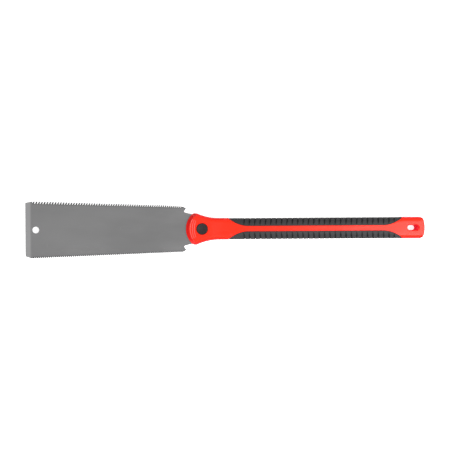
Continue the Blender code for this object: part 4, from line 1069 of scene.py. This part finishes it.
@dataclass
class RubberGrip:
    """One of the four grooved rubber grips, and the pocket that it fills.

    A groove's depth at a station is D s (1 - u²), with u the distance from its middle as a share
    of its half width and s a swell that is full halfway between spine and side. The width too is
    largest there, and the middle leans back.
    """

    form: HandleForm
    side: Side
    hand: Hand
    set_back: float = 0.4 * MM
    thickness: float = 1.8 * MM
    edge_radius: float = 0.5 * MM
    rim_radius: float = 0.45 * MM
    groove_pitch: float = 7.95 * MM
    groove_depth: float = 1.15 * MM
    groove_at_spine: float = 0.6 * MM
    groove_halfway: float = 2.8 * MM
    groove_at_side: float = 2.2 * MM
    groove_lean: float = 2.2 * MM
    swell_full: tuple[float, float] = (0.35, 0.75)
    swell_at_side: float = 0.6
    smooth_margin: float = 1.6 * MM
    behind_front: float = 22.9 * MM
    ahead_of_rear: float = 12.6 * MM
    steps_per_pitch: int = 28
    rows: int = 34
    swell_at_spine: float = 0.4
    corner_steps: int = 5
    foot_levels: tuple[float, ...] = (0.6, 0.3, 0.1, 0, 0)
    foot_inset: tuple[float, ...] = (0, 0, 0.08 * MM, 0.3 * MM)
    inner_columns: int = 9
    sweep_stations: int = 40
    sweep_bunching: float = 1.4
    middle_stations: int = 12
    pocket_columns: int = 14
    clear: float = 2 * MM
    least_outward: float = 0.001
    brim_rise: tuple[float, float] = (2 * MM, 0.3 * MM)
    brim_reach: tuple[float, float] = (0.4 * MM, 0.1 * MM)

    def turned_to_place(self, loops: Array) -> Array:
        """Loops of the upper front grip, mirrored to this grip's quarter."""
        return loops * np.array([1, self.hand.value, self.side.value])

    def ends(self) -> tuple[float, float]:
        """The blunt ends."""
        return self.form.grip_front + self.form.blunt_end, self.form.grip_rear - self.form.blunt_end

    def stations(self) -> Array:
        """Places for the grip's sections.

        Returns:
            Distances from the nose, many to a groove.
        """
        front, rear = self.ends()
        count = int((rear - front) / self.groove_pitch * self.steps_per_pitch)
        return np.linspace(front, rear, count)

    def groove(self, x: Array, share: Array, down: Array) -> Array:
        """How deep the grooves are, from 0 to 1.

        Args:
            x: Distance from the nose.
            share: 0 at the spine, 1 at the side.
            down: Distance from the spine's edge along the surface.

        Returns:
            The depth at each point, as a share of the full depth.
        """
        first = self.form.grip_front + self.behind_front
        last_place = int((self.form.grip_rear - self.ahead_of_rear - first) / self.groove_pitch)
        moved = x - first - self.groove_lean * share
        number = np.clip(np.round(moved / self.groove_pitch), 0, last_place)
        width = [self.groove_at_spine, self.groove_halfway, self.groove_halfway, self.groove_at_side]
        half = np.interp(share, [0, *self.swell_full, 1], width) / 2
        off = np.clip(np.abs(moved - number * self.groove_pitch) / half, 0, 1)
        swell = np.interp(share, [0, *self.swell_full, 1], [self.swell_at_spine, 1, 1, self.swell_at_side])
        return (1 - off ** 2) * swell * ramp(down, self.smooth_margin / 2, self.smooth_margin)

    def rubber_mesh(self, name: str) -> bpy.types.Mesh:
        """The rubber.

        Args:
            name: The mesh's name.

        Returns:
            A loft of closed sections: up the spine's wall, round its corner, over the grooved
            flank, down the side, and back along the inner face. The end sections are drawn in.
        """
        x = self.stations()[:, None]
        front, rear = self.ends()
        radius = self.edge_radius
        near_end = np.minimum(x - front, rear - x)
        drawn = radius * (1 - np.sqrt(1 - np.clip(1 - near_end / radius, 0, 1) ** 2))
        start, speed = self.form.spine_turn(x, 0)
        corner = quarter(self.corner_steps)[None, :]
        corner_turn = start - (radius * (1 - np.cos(corner)) + drawn) / speed
        corner_in = self.set_back + radius * (1 - np.sin(corner)) + drawn
        share = np.linspace(0, 1, self.rows)[None, :]
        flank_turn = (start - (radius + drawn) / speed) * (1 - share)
        down = radius + flank_turn[:, :1] * speed * share
        depth = self.groove(x, share, down)
        flank_in = self.set_back + drawn + self.groove_depth * depth
        levels = np.array(self.foot_levels)
        foot_turn = np.zeros((len(x), len(levels)))
        foot_in = flank_in[:, -1:] + np.array(self.foot_inset)
        inner_turn = start * np.linspace(0, 1, self.inner_columns)
        inner_in = self.set_back + self.thickness + 0 * inner_turn
        turn = np.hstack([corner_turn[:, :-1], flank_turn, foot_turn, inner_turn])
        inward = np.hstack([corner_in[:, :-1] + 0 * start, flank_in, foot_in, inner_in[:, :1], inner_in])
        loops = self.form.flank(x + 0 * turn, turn, inward)
        foot = self.corner_steps + self.rows
        loops[:, foot:foot + len(levels), 2] = PARTING + (self.form.side_height(x) - PARTING) * levels
        mesh = loft(name, self.turned_to_place(loops))
        self.store_groove_depth(mesh)
        return mesh

    def store_groove_depth(self, mesh: bpy.types.Mesh) -> None:
        """Store each point's share of the groove depth, from its own place.

        Args:
            mesh: The grip's mesh.
        """
        points = own_points(mesh) * np.array([1, self.hand.value, self.side.value])
        x, y, z = points.T
        depth = self.form.edge_depth(x)
        side = self.form.side_height(x)
        rise = self.form.top_height(x) - side
        start, speed = self.form.spine_turn(x, 0)
        outward = np.clip((y - self.form.neck_half) / depth + 1, self.least_outward, None)
        turn = np.arctan2(np.maximum(z - side, 0) / rise, outward)
        share = np.clip(1 - turn / start, 0, 1)
        add_attribute(mesh, "groove_depth", self.groove(x, share, share * start * speed))

    def pocket_mesh(self, name: str) -> bpy.types.Mesh:
        """The pocket in the red shell, as a cutter that leaves a rounded rim at the spine.

        Args:
            name: The mesh's name.

        Returns:
            A loft of closed sections, a seat gap larger than the rubber.
        """
        front, rear = self.ends()
        length = self.form.grip_sweep
        sweep = np.linspace(0, 1, self.sweep_stations) ** self.sweep_bunching * length
        middle = np.linspace(front + length, rear - length, self.middle_stations)[1:-1]
        x = np.concatenate([[front - SEAT_GAP], front + sweep[1:], middle, rear - sweep[::-1][:-1],
                            [rear + SEAT_GAP]])[:, None]
        start, speed = self.form.spine_turn(x, SEAT_GAP)
        corner = quarter(self.corner_steps)[None, :-1]
        rim = self.rim_radius
        brim_in = -np.array(self.brim_rise) + 0 * start
        rim_turn = start + rim * (1 - np.cos(corner)) / speed
        rim_in = rim * (1 - np.sin(corner)) + 0 * start
        brim_turn = rim_turn[:, -1:] + np.array(self.brim_reach) / speed
        floor = self.set_back + self.thickness + SEAT_GAP
        across = np.linspace(0, 1, self.pocket_columns)
        inner_turn = start * (1 - across)
        outer_turn = rim_turn[:, -1:] * across[:-1]
        turn = np.hstack([brim_turn, rim_turn[:, ::-1], inner_turn, 0 * start, 0 * start, outer_turn])
        inward = np.hstack([brim_in, rim_in[:, ::-1], floor + 0 * inner_turn, floor + 0 * start,
                            -self.clear + 0 * start, -self.clear + 0 * outer_turn])
        loops = self.form.flank(x + 0 * turn, turn, inward)
        foot = len(self.brim_rise) + self.corner_steps + self.pocket_columns
        loops[:, foot:foot + 2, 2] = -self.clear
        return loft(name, self.turned_to_place(loops))

    def build(self, material: bpy.types.Material) -> None:
        """Make the grip and put it in place of its node."""
        node = f"{self.side.name}_{self.hand.name}_grip".lower()
        add_piece(f"rubber_{node}", self.rubber_mesh(node + "_rubber"), material, "handle", node)


@dataclass
class HandleShell:
    """One red half of the handle with all that is cut into it and moulded on it."""

    form: HandleForm
    side: Side
    bore_radius: float = 8.5 * MM
    bore_rim: float = 0.45 * MM
    slot_length: float = 16.6 * MM
    slot_width: float = 7.4 * MM
    slot_from_butt: float = 10.4 * MM
    slot_wall: float = 2 * MM
    slot_rim: float = 1.6 * MM
    arc_first: float = 6.9 * MM
    arc_spacing: float = 3 * MM
    arc_count: int = 3
    arc_half_span: float = 15 * MM
    arc_span_step: float = 1.2 * MM
    arc_radius: float = 0.65 * MM
    arc_height: float = 0.55 * MM
    arc_stations: int = 64
    arc_end_steps: int = 8
    arc_sides: int = 20
    arc_least_end: float = 0.02
    rim_steps: int = 10
    clear: float = 2 * MM
    well_radius: float = 3.1 * MM
    shank_hole: float = 1.65 * MM
    boss_wall: float = 1.75 * MM
    well_depth: float = 6.3 * MM
    root_sink: float = 0.8 * MM
    round_sides: int = 96
    small_sides: int = 48

    def signed(self, mesh_points: Array) -> Array:
        """Points above the blade, mirrored below it for the back shell."""
        return mesh_points * np.array([1, 1, self.side.value])

    def hollow(self, name: str) -> bpy.types.Mesh:
        """The plain shell: closed loops of the outer skin and, back again, the inner skin.

        Args:
            name: The mesh's name.

        Returns:
            The closed mesh.
        """
        x = self.form.plan(0)[:, 0]
        outer = self.form.skin(np.zeros_like(x), self.form.edge_steps)
        inner = self.form.skin(self.form.wall_at(x), self.form.edge_steps // 2)
        flip = np.array([1, -1, 1])
        over = np.concatenate([outer, outer[:, ::-1] * flip], axis=1)
        under = np.concatenate([inner, inner[:, ::-1] * flip], axis=1)
        return loft(name, self.signed(np.concatenate([over, under[:, ::-1]], axis=1)), capped=False)

    def mouth(self) -> bpy.types.Mesh:
        """The slit that the tang slides in.

        Returns:
            A tapered plate, a running gap wider than the tang.
        """
        x = np.array([-self.clear, ToothedBlade.tang_shoulder + RUNNING_GAP])
        half = ToothedBlade.tang_half(x) + RUNNING_GAP
        outline = np.array([[x[0], -half[0]], [x[1], -half[1]], [x[1], half[1]], [x[0], half[0]]])
        level = BLADE_HALF + SEAT_GAP
        return stacked("mouth", np.stack([outline, outline]), [-level, level])

    def slot(self) -> tuple[bpy.types.Mesh, bpy.types.Mesh]:
        """The hanging slot.

        Returns:
            The wall round it, and the cutter with its rounded rim.
        """
        middle = HANDLE_LENGTH - self.slot_from_butt - self.slot_length / 2
        wide = np.array([self.slot_width + 2 * self.slot_wall])
        outline = stadium(self.slot_length + 2 * self.slot_wall, wide) + np.array([middle, 0])
        top = HALF_THICKNESS - self.form.wall / 2
        levels = sorted([self.side.value * PARTING, self.side.value * top])
        wall = stacked("slot_wall", np.concatenate([outline, outline]), levels)
        cut = flared(self.slot_width / 2, -self.clear, HALF_THICKNESS, self.slot_rim, self.rim_steps)
        outlines = stadium(self.slot_length, 2 * cut[:, 0]) + np.array([middle, 0])
        return wall, stacked("slot", outlines, cut[:, 1] * self.side.value)

    def raised_arc(self, number: int) -> bpy.types.Mesh:
        """A raised arc behind the lip: a round bar along an arc parallel to the nose.

        Args:
            number: 0 for the first behind the lip.

        Returns:
            The bar, with round ends: near an end its radius is sqrt(r² - (r - s)²).
        """
        half_span = self.arc_half_span - self.arc_span_step * number
        bend = self.form.nose_radius
        swing = math.asin(half_span / bend)
        close = quarter(self.arc_end_steps)[:-1]
        end_angle = self.arc_radius * (1 - np.cos(close)) / bend
        reach = swing - self.arc_radius / bend
        middle = np.linspace(-reach, reach, self.arc_stations)
        angle = np.concatenate([-swing + end_angle, middle, swing - end_angle[::-1]])
        size = np.concatenate([np.sin(close), np.ones(self.arc_stations), np.sin(close)[::-1]])
        size = np.maximum(size, self.arc_least_end) * self.arc_radius
        round_about = np.arange(self.arc_sides) * 2 * math.pi / self.arc_sides
        reach = bend + size[:, None] * np.cos(round_about)
        x = self.arc_first + self.arc_spacing * number + bend - reach * np.cos(angle)[:, None]
        y = reach * np.sin(angle)[:, None]
        z = HALF_THICKNESS + self.arc_height - self.arc_radius + size[:, None] * np.sin(round_about)
        return loft(f"raised_arc_{number + 1}", np.stack([x, y, z], axis=-1))

    def screw_places(self) -> list[tuple[float, float]]:
        """Where the shell's screws stand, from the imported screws.

        Returns:
            The x and y of each.
        """
        names = ["head_upper_screw", "head_lower_screw", "neck_screw", "middle_screw", "rear_screw"]
        boxes = [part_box(name) for name in names]
        return [((low.x + high.x) / 2 - NOSE_X, (low.y + high.y) / 2) for low, high in boxes]

    def boss(self, x: float, y: float) -> bpy.types.Mesh:
        """A front boss with a blind hole for a screw's shank.

        Args:
            x: The screw's distance from the nose.
            y: Its place across the handle.

        Returns:
            The turned mesh.
        """
        root = float(self.form.top_height(x) - self.form.wall_at(x)) + self.root_sink
        hole = self.shank_hole
        wide = hole + self.boss_wall
        bottom = root - 2 * self.root_sink
        profile = np.array([(0, root), (wide, root), (wide, PARTING), (hole, PARTING), (hole, bottom),
                            (0, bottom)])
        return turned("boss", profile, (x, y), self.small_sides)

    def column(self, x: float, y: float) -> bpy.types.Mesh:
        """A back column, wide below for the screw's head and narrow above for its shank.

        Args:
            x: The screw's distance from the nose.
            y: Its place across the handle.

        Returns:
            The turned mesh.
        """
        root = -float(self.form.top_height(x) - self.form.wall_at(x)) - self.root_sink
        seat = -HALF_THICKNESS + self.well_depth
        wide = self.well_radius + self.form.wall / 2
        narrow = self.shank_hole + self.boss_wall
        top = (self.shank_hole, -PARTING)
        profile = np.array([top, (narrow, -PARTING), (narrow, seat + self.form.wall),
                            (wide, seat + self.form.wall / 2), (wide, root), (self.shank_hole, root), top])
        return turned("column", profile, (x, y), self.small_sides)

    def well(self, x: float, y: float) -> bpy.types.Mesh:
        """The sunk seat of a screw's head, with a softened rim.

        Args:
            x: The screw's distance from the nose.
            y: Its place across the handle.

        Returns:
            The turned mesh.
        """
        seat = HALF_THICKNESS - self.well_depth
        cut = flared(self.well_radius, seat, float(self.form.top_height(x)), self.bore_rim)
        profile = np.vstack([(0, seat), cut, (0, cut[-1, 1])]) * np.array([1, -1])
        return turned("well", profile, (x, y), self.small_sides)

    def build(self, material: bpy.types.Material) -> None:
        """Make the shell and put it in place of its node.

        Args:
            material: The red plastic.
        """
        node = self.side.name.lower() + "_shell"
        wall, slot = self.slot()
        pockets = [RubberGrip(self.form, self.side, hand).pocket_mesh(f"{hand.name.lower()}_pocket")
                   for hand in Hand]
        cuts = [slot, self.mouth(), *pockets]
        if self.side is Side.FRONT:
            joins = [wall, *[self.boss(x, y) for x, y in self.screw_places()]]
            joins += [self.raised_arc(number) for number in range(self.arc_count)]
            low = HALF_THICKNESS - self.form.wall - self.clear
            cut = flared(self.bore_radius, low, HALF_THICKNESS, self.bore_rim)
            profile = np.vstack([(0, low), cut, (0, cut[-1, 1])])
            cuts.append(turned("bore", profile, (BUTTON_X, 0), self.round_sides))
        else:
            joins = [wall, *[self.column(x, y) for x, y in self.screw_places()]]
            cuts += [self.well(x, y) for x, y in self.screw_places()]
        mesh = carved(self.hollow(node + "_moulding"), joins, cuts)
        add_piece("moulded_" + node, mesh, material, "handle", node)


# Button
@dataclass
class ReleaseButton:
    """The round push button, turned from one profile."""

    radius: float = 8 * MM
    proud: float = 0.8 * MM
    dish: float = 0.5 * MM
    rim: float = 1.1 * MM
    edge: float = 0.55 * MM
    wall: float = 1.6 * MM
    flange: float = 1.2 * MM
    dish_steps: int = 13
    edge_steps: int = 8
    sides: int = 128

    def profile(self) -> Array:
        """Radius and height, from the middle of the dish over the rounded edge to the hollow below.

        Returns:
            Points by 2. The dish's height is top - d (1 - s²) at a share s of its radius.
        """
        top = HALF_THICKNESS + self.proud
        share = np.linspace(0, 1, self.dish_steps + 1)
        dish = np.stack([share * (self.radius - self.rim), top - self.dish * (1 - share ** 2)], axis=1)
        turn = quarter(self.edge_steps)
        centre = (self.radius - self.edge, top - self.edge)
        edge = np.stack([centre[0] + self.edge * np.sin(turn), centre[1] + self.edge * np.cos(turn)], axis=1)
        flange_top = HALF_THICKNESS - HandleForm.wall - SEAT_GAP
        flange_low = flange_top - self.flange
        ceiling = top - self.dish - self.wall
        below = np.array([(self.radius, flange_top), (self.radius + self.flange, flange_top),
                          (self.radius + self.flange, flange_low), (self.radius - self.wall, flange_low),
                          (self.radius - self.wall, ceiling), (0, ceiling)])
        return np.vstack([dish, edge, below])

    def build(self, material: bpy.types.Material) -> None:
        """Make the button and put it in place of its node."""
        mesh = turned("button_cap", self.profile(), (BUTTON_X, 0), self.sides)
        add_piece("button_cap", mesh, material, "button", "release_button")


# Blade
@dataclass(frozen=True)
class ToothRow:
    """One toothed edge of the blade.

    A tooth starts at the bottom of a gullet. Each further point lies a share of the pitch back
    and a share of the depth out; pitch and depth change evenly along the blade.
    """

    form: tuple[tuple[float, float], ...]
    depths: tuple[float, float]
    pitches: tuple[float, float]
    setback: float
    tip_half: float
    bevel: float
    bend: float


COARSE_TEETH = ToothRow(form=((0.42, 1), (0.8, 1), (0.52, 0)), depths=(3.3 * MM, 2.5 * MM),
                        pitches=(4.2 * MM, 3 * MM), setback=7.8 * MM, tip_half=41.1 * MM,
                        bevel=0.12 * MM, bend=0.15 * MM)
FINE_TEETH = ToothRow(form=((0.34, 1), (0.64, 1), (0.86, 0)), depths=(1.8 * MM, 1.8 * MM),
                      pitches=(3 * MM, 3 * MM), setback=5.2 * MM, tip_half=39.7 * MM,
                      bevel=0.12 * MM, bend=0.1 * MM)


@dataclass
class ToothedBlade:
    """The blade: a flat plate whose teeth are filed and bent aside by turns."""

    lead_in: float = 10.2 * MM
    lead_in_face: float = 0.5 * MM
    first_half: float = 42.9 * MM
    last_half: float = 35 * MM
    tip_corner: float = 0.8 * MM
    heel_shoulder_half: float = 34.2 * MM
    heel: tuple[float, float] = (-0.1 * MM, 31.6 * MM)
    heel_rounding: float = 0.9 * MM
    notch: tuple[float, float] = (-2.8 * MM, 26.5 * MM)
    tang_root: tuple[float, float] = (-1.7 * MM, 24.9 * MM)
    tang_slope: float = math.tan(math.radians(15))
    tang_shoulder: float = 11 * MM
    tongue_half: float = 9 * MM
    tongue_fillet: float = 2 * MM
    tongue_end: float = 41 * MM
    slot_half: float = 3 * MM
    slot_steps: int = 9
    fillet_steps: int = 6
    tip_corner_steps: int = 7
    heel_steps: int = 5
    heel_turn: float = 0.8
    heel_drop: float = 0.6
    hole_radius: float = 5 * MM
    hole_inset: float = 15.6 * MM
    hole_chamfer: float = 0.2 * MM
    catch_run: float = 1.2 * MM
    window_length: float = 6.4 * MM
    window_half: float = 3 * MM
    round_sides: int = 64
    fill_tolerance: float = 1e-5
    coarse: ToothRow = COARSE_TEETH
    fine: ToothRow = FINE_TEETH

    def toothed_edge(self, row: ToothRow) -> tuple[Array, Array]:
        """One toothed edge, from the lead-in to the heel's shoulder.

        Args:
            row: Its teeth.

        Returns:
            Points by 2, and for each point 1 or -1 at the tips of a tooth, by turns, and 0 at
            its root.
        """
        start = -BLADE_REACH + self.lead_in
        length = BLADE_REACH - self.lead_in - row.setback
        count = round(2 * length / sum(row.pitches))
        share = np.arange(count + 1) / count
        change = (row.pitches[1] - row.pitches[0]) / sum(row.pitches)
        roots = start + self.lead_in_face + length * (share * (1 - change) + share ** 2 * change)
        along = np.array([(0, 0), *row.form])
        x = roots[:-1, None] + np.diff(roots)[:, None] * along[:, 0]
        ends = [start, start + length]
        tip_line = np.interp(x, ends, [self.first_half, self.last_half])
        y = tip_line - np.interp(x, ends, row.depths) * (1 - along[:, 1])
        turns = np.where(np.arange(count) % 2, 1, -1)[:, None] * along[:, 1]
        points = np.stack([x, y], axis=-1).reshape(-1, 2)
        last = [(roots[-1], points[-1, 1]), (roots[-1] + self.lead_in_face, self.heel_shoulder_half)]
        points = np.vstack([(start, self.first_half), points, last])
        return points, np.concatenate([[0], turns.ravel(), [0, 0]])

    def tip_arc(self, row: ToothRow) -> Array:
        """The rounded corner at the tip.

        Args:
            row: The teeth of its edge.

        Returns:
            Points by 2.
        """
        radius = self.tip_corner
        lean = math.atan2(self.first_half - row.tip_half, self.lead_in)
        angle = np.linspace(math.pi, SQUARE + lean, self.tip_corner_steps + 1)
        return np.stack([-BLADE_REACH + radius + radius * np.cos(angle),
                         row.tip_half - radius + radius * np.sin(angle)], axis=1)

    @classmethod
    def tang_half(cls, x: Array | float) -> Array | float:
        """Half the tang's width in front of its shoulder: it narrows evenly from the root."""
        return cls.tang_root[1] - cls.tang_slope * (x - cls.tang_root[0])

    def heel_and_tang(self) -> Array:
        """Half the outline from the heel's corner to the end of the stem's slot.

        Returns:
            Points by 2.
        """
        rounding = self.heel_rounding
        angle = np.linspace(SQUARE * self.heel_turn, 0, self.heel_steps + 1)
        corner = np.stack([self.heel[0] - rounding + rounding * np.cos(angle),
                           self.heel[1] - rounding * self.heel_drop + rounding * np.sin(angle)], axis=1)
        turn = quarter(self.fillet_steps)
        fillet = np.stack([self.tang_shoulder + self.tongue_fillet * (1 - np.cos(turn)),
                           self.tongue_half + self.tongue_fillet * (1 - np.sin(turn))], axis=1)
        chamfer = self.tongue_fillet
        end = np.linspace(SQUARE, math.pi, self.slot_steps + 1)
        slot = np.stack([BUTTON_X + self.slot_half * np.cos(end), self.slot_half * np.sin(end)], axis=1)
        return np.vstack([
            corner, (self.heel[0], self.heel[1] - rounding),
            (self.notch[0], self.notch[1] + rounding / 2), (self.notch[0], self.notch[1] - rounding / 2),
            self.tang_root, (self.tang_shoulder, self.tang_half(self.tang_shoulder)), fillet,
            (self.tongue_end - chamfer, self.tongue_half), (self.tongue_end, self.tongue_half - chamfer),
            (self.tongue_end, self.slot_half), slot])

    def edge_run(self, row: ToothRow) -> Array:
        """Half the outline from the tip along one edge to the stem's slot.

        Args:
            row: The edge's teeth.

        Returns:
            Points by 4: x, y, how far the point is bent up or down, and how much of the upper
            (plus) or lower (minus) face is filed away there.
        """
        lead, rest = self.tip_arc(row), self.heel_and_tang()
        edge, by_turns = self.toothed_edge(row)
        run = np.zeros((len(lead) + len(edge) + len(rest), 4))
        run[:, :2] = np.vstack([lead, edge, rest])
        teeth = slice(len(lead), len(lead) + len(edge))
        run[teeth, 2:] = by_turns[:, None] * np.array([row.bend, row.bevel])
        return run

    def catch_window(self) -> Array:
        """The window that the latch's catch stands in, with a running gap round it.

        Returns:
            Its four corners.
        """
        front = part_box("latch_spring")[0].x - NOSE_X + self.catch_run - RUNNING_GAP
        back = front + self.window_length
        half = self.window_half
        return np.array([(front, -half), (back, -half), (back, half), (front, half)])

    def mesh(self, name: str) -> bpy.types.Mesh:
        """The plate.

        Args:
            name: The mesh's name.

        Returns:
            Its flat faces are a constrained triangulation of the outline and the holes, made
            twice, and walls join the two. A tooth's tips are bent aside by turns and the face on
            the outer side of the bend is filed away.
        """
        mirror = np.array([1, -1, 1, 1])
        outline = np.vstack([self.edge_run(self.coarse)[::-1], (self.edge_run(self.fine) * mirror)[:-1]])
        angle = np.arange(self.round_sides) * 2 * math.pi / self.round_sides
        around = np.stack([np.cos(angle), np.sin(angle)], axis=1)
        centre = np.array([-BLADE_REACH + self.hole_inset, 0])
        rim = centre + around * (self.hole_radius + self.hole_chamfer)
        parts = [outline[:, :2], rim, self.catch_window()]
        flat = np.vstack(parts)
        ends = np.cumsum([0] + [len(part) for part in parts])
        loops = [list(range(a, b)) for a, b in zip(ends[:-1], ends[1:])]
        filled = delaunay_2d_cdt([Vector(point / MM) for point in flat], [], loops, 0,
                                 self.fill_tolerance, True)
        total = len(flat)
        if len(filled[0]) != total:
            LOG.warning("the blade's outline crosses itself: %d points became %d", total, len(filled[0]))
        kept = [list(face) for face, inside in zip(filled[2], filled[5]) if list(inside) == [0]]
        bend, bevel = np.zeros((2, total))
        bend[:len(outline)], bevel[:len(outline)] = outline[:, 2:].T
        top = BLADE_HALF + bend - np.maximum(bevel, 0)
        bottom = -BLADE_HALF + bend - np.minimum(bevel, 0)
        inner = centre + around * self.hole_radius
        waist = np.full((self.round_sides, 1), BLADE_HALF - self.hole_chamfer)
        points = np.vstack([np.column_stack([flat, top]), np.column_stack([flat, bottom]),
                            np.hstack([inner, waist]), np.hstack([inner, -waist])])
        faces = kept + [[corner + total for corner in face] for face in kept]
        hole = np.array(loops[1])
        step = 2 * total + np.arange(self.round_sides)
        walls = [(np.array(loop), np.array(loop) + total) for loop in (loops[0], loops[2])]
        next_step = step + self.round_sides
        walls += [(hole, step), (step, next_step), (next_step, hole + total)]
        for upper, lower in walls:
            faces += np.stack([upper, np.roll(upper, -1), np.roll(lower, -1), lower], axis=1).tolist()
        return mesh_of(name, points, faces)

    def build(self, material: bpy.types.Material) -> None:
        """Make the blade and put it in place of its node."""
        mesh = self.mesh("toothed_plate")
        add_piece("toothed_blade", mesh, material, "blade", "blade", smooth_below=0)


# Steel pieces inside the handle
@dataclass(frozen=True)
class InnerWorks:
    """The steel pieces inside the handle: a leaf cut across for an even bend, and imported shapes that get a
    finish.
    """

    effects: SharedEffects
    leaf_parts: int = 40

    def bend_leaf(self) -> None:
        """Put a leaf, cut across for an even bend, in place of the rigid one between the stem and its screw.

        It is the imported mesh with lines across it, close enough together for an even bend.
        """
        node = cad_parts["latch_spring"]
        low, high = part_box("latch_spring")
        work = bmesh.new()
        work.from_mesh(node.data)
        work.transform(node.matrix_world)
        bmesh.ops.remove_doubles(work, verts=work.verts, dist=WELD_DISTANCE)
        for x in np.linspace(low.x, high.x, self.leaf_parts + 1)[1:-1]:
            everything = [*work.verts, *work.edges, *work.faces]
            bmesh.ops.bisect_plane(work, geom=everything, plane_co=(x, 0, 0), plane_no=(1, 0, 0))
        mesh = bpy.data.meshes.new("latch_leaf")
        work.to_mesh(mesh)
        work.free()
        mesh.materials.append(SPRING_STEEL.make(self.effects))
        leaf = put("latch_leaf", mesh)
        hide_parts("latch_spring")
        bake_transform(leaf)
        LOG.info("latch_leaf: %d faces, %d open edges, bends", len(mesh.polygons), edge_count(mesh))

    def dress(self) -> None:
        """Give each piece its finish."""
        chosen = {"front_liner": LINER_STEEL, "back_liner": LINER_STEEL, "button_stem": TURNED_STEEL}
        made: dict[str, bpy.types.Material] = {}
        for name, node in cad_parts.items():
            if node.hide_render:
                continue
            finish = chosen.get(name, TURNED_STEEL if "rivet" in name else ZINC_PLATE)
            if finish.name not in made:
                made[finish.name] = finish.make(self.effects)
            node.data.materials.clear()
            node.data.materials.append(made[finish.name])
            LOG.info("%s: packed shape, finish %s", name, finish.name)


# Stage
@dataclass(frozen=True)
class Lamp:
    """A square lamp: the length of its side, its power in watts, its place and what it is turned to."""

    name: str
    size: float
    power: float
    place: tuple[float, ...]
    target: tuple[float, ...]

    def hang(self) -> None:
        """Put the lamp in the scene."""
        light = bpy.data.lights.new(self.name, "AREA")
        light.size = self.size
        light.energy = self.power
        holder = put(self.name, light)
        holder.location = self.place
        ray = Vector(self.target) - Vector(self.place)
        holder.rotation_euler = ray.to_track_quat("-Z", "Y").to_euler()


LAMPS = (Lamp("soft_lamp", size=0.8, power=12.0, place=(0.66, -0.31, 1.05), target=(0.05, 0, 0)),
         Lamp("low_lamp", size=0.18, power=2.4, place=(-0.52, -0.6, 0.42), target=(NOSE_X, 0, MIDDLE_Z)),
         Lamp("end_lamp", size=0.18, power=2.0, place=(0.86, -0.06, 0.42),
              target=(NOSE_X + HANDLE_LENGTH, 0, MIDDLE_Z)))


@dataclass(frozen=True)
class Stage:
    """The floor, the surroundings, the lamps and the camera."""

    image_size: int = 457
    scale: float = 1.5 * MM
    distance: float = 768 * MM
    centre: tuple[float, float] = (6.25 * MM, 0.4 * MM)
    roll_degrees: float = -0.387
    sensor: float = 36.0
    ambient: float = 0.5
    floor_glow: float = 0.8
    floor_reach: float = 6.0
    floor_tones: tuple[float, float] = (0.93, 0.95)
    floor_roughness: float = 0.9

    def lay_floor(self) -> None:
        """A pale floor that shows white to the camera, so its glow is for camera rays only."""
        material, bench, inputs = start_material("pale_floor")
        tone = bench.noise(3.0, bench.place(), detail=2)
        pale = [(part, part, part, 1.0) for part in self.floor_tones]
        bench.feed(inputs["Base Color"], bench.blend(tone, *pale))
        inputs["Roughness"].default_value = self.floor_roughness
        inputs["Specular IOR Level"].default_value = 0.0
        seen = bench.add("ShaderNodeLightPath").outputs["Is Camera Ray"]
        inputs["Emission Color"].default_value = WHITE
        bench.feed(inputs["Emission Strength"], bench.product(seen, self.floor_glow))
        mesh = bpy.data.meshes.new("floor")
        corners = [(x * self.floor_reach, y * self.floor_reach, 0)
                   for x, y in ((-1, -1), (1, -1), (1, 1), (-1, 1))]
        mesh.from_pydata(corners, [], [(0, 1, 2, 3)])
        mesh.materials.append(material)
        floor = put("floor", mesh)

    def light(self) -> None:
        """Even surroundings, a large soft lamp over the butt and small low ones by the nose and butt."""
        world = bpy.data.worlds.new("surroundings")
        bpy.context.scene.world = world
        world.use_nodes = True
        bench = NodeBench(world.node_tree)
        background = world.node_tree.nodes["Background"]
        path = bench.add("ShaderNodeLightPath").outputs
        mirrored = bench.math("MAXIMUM", path["Is Glossy Ray"], path["Is Transmission Ray"])
        seen = bench.math("MAXIMUM", path["Is Camera Ray"], mirrored)
        background.inputs["Color"].default_value = WHITE
        bench.feed(background.inputs["Strength"], bench.math("MAXIMUM", self.ambient, seen))
        for lamp in LAMPS:
            lamp.hang()

    def set_camera(self) -> None:
        """A camera straight above, whose picture is 1.5 mm to a pixel at the blade.

        The teeth are about as wide as a pixel. The noise filter's guides aren't smoothed much, so
        that it doesn't take the teeth for noise.
        """
        camera = bpy.data.cameras.new("camera")
        camera.sensor_width = self.sensor
        camera.lens = self.sensor / 2 * self.distance / (self.image_size * self.scale / 2)
        holder = put("camera", camera)
        holder.location = (*self.centre, MIDDLE_Z + self.distance)
        holder.rotation_euler = (0, 0, math.radians(self.roll_degrees))
        bpy.context.scene.camera = holder
        bpy.context.scene.view_settings.view_transform = "Standard"
        bpy.context.scene.cycles.denoising_prefilter = "FAST"


def main() -> None:
    """Build and dress the saw piece by piece, then set the stage."""
    effects = SharedEffects()
    form = HandleForm()
    blade = ToothedBlade()
    blade.build(BLADE_STEEL.make(effects, blade))
    red = RED_PLASTIC.make(effects)
    rubber = GRIP_RUBBER.make(effects)
    for side in Side:
        HandleShell(form, side).build(red)
        for hand in Hand:
            RubberGrip(form, side, hand).build(rubber)
    ReleaseButton().build(BUTTON_PLASTIC.make(effects))
    inner_works = InnerWorks(effects)
    inner_works.bend_leaf()
    inner_works.dress()
    stage = Stage()
    stage.lay_floor()
    stage.light()
    stage.set_camera()


if __name__ == "__main__":
    logging.basicConfig(level=logging.INFO, format="%(message)s")
    main()
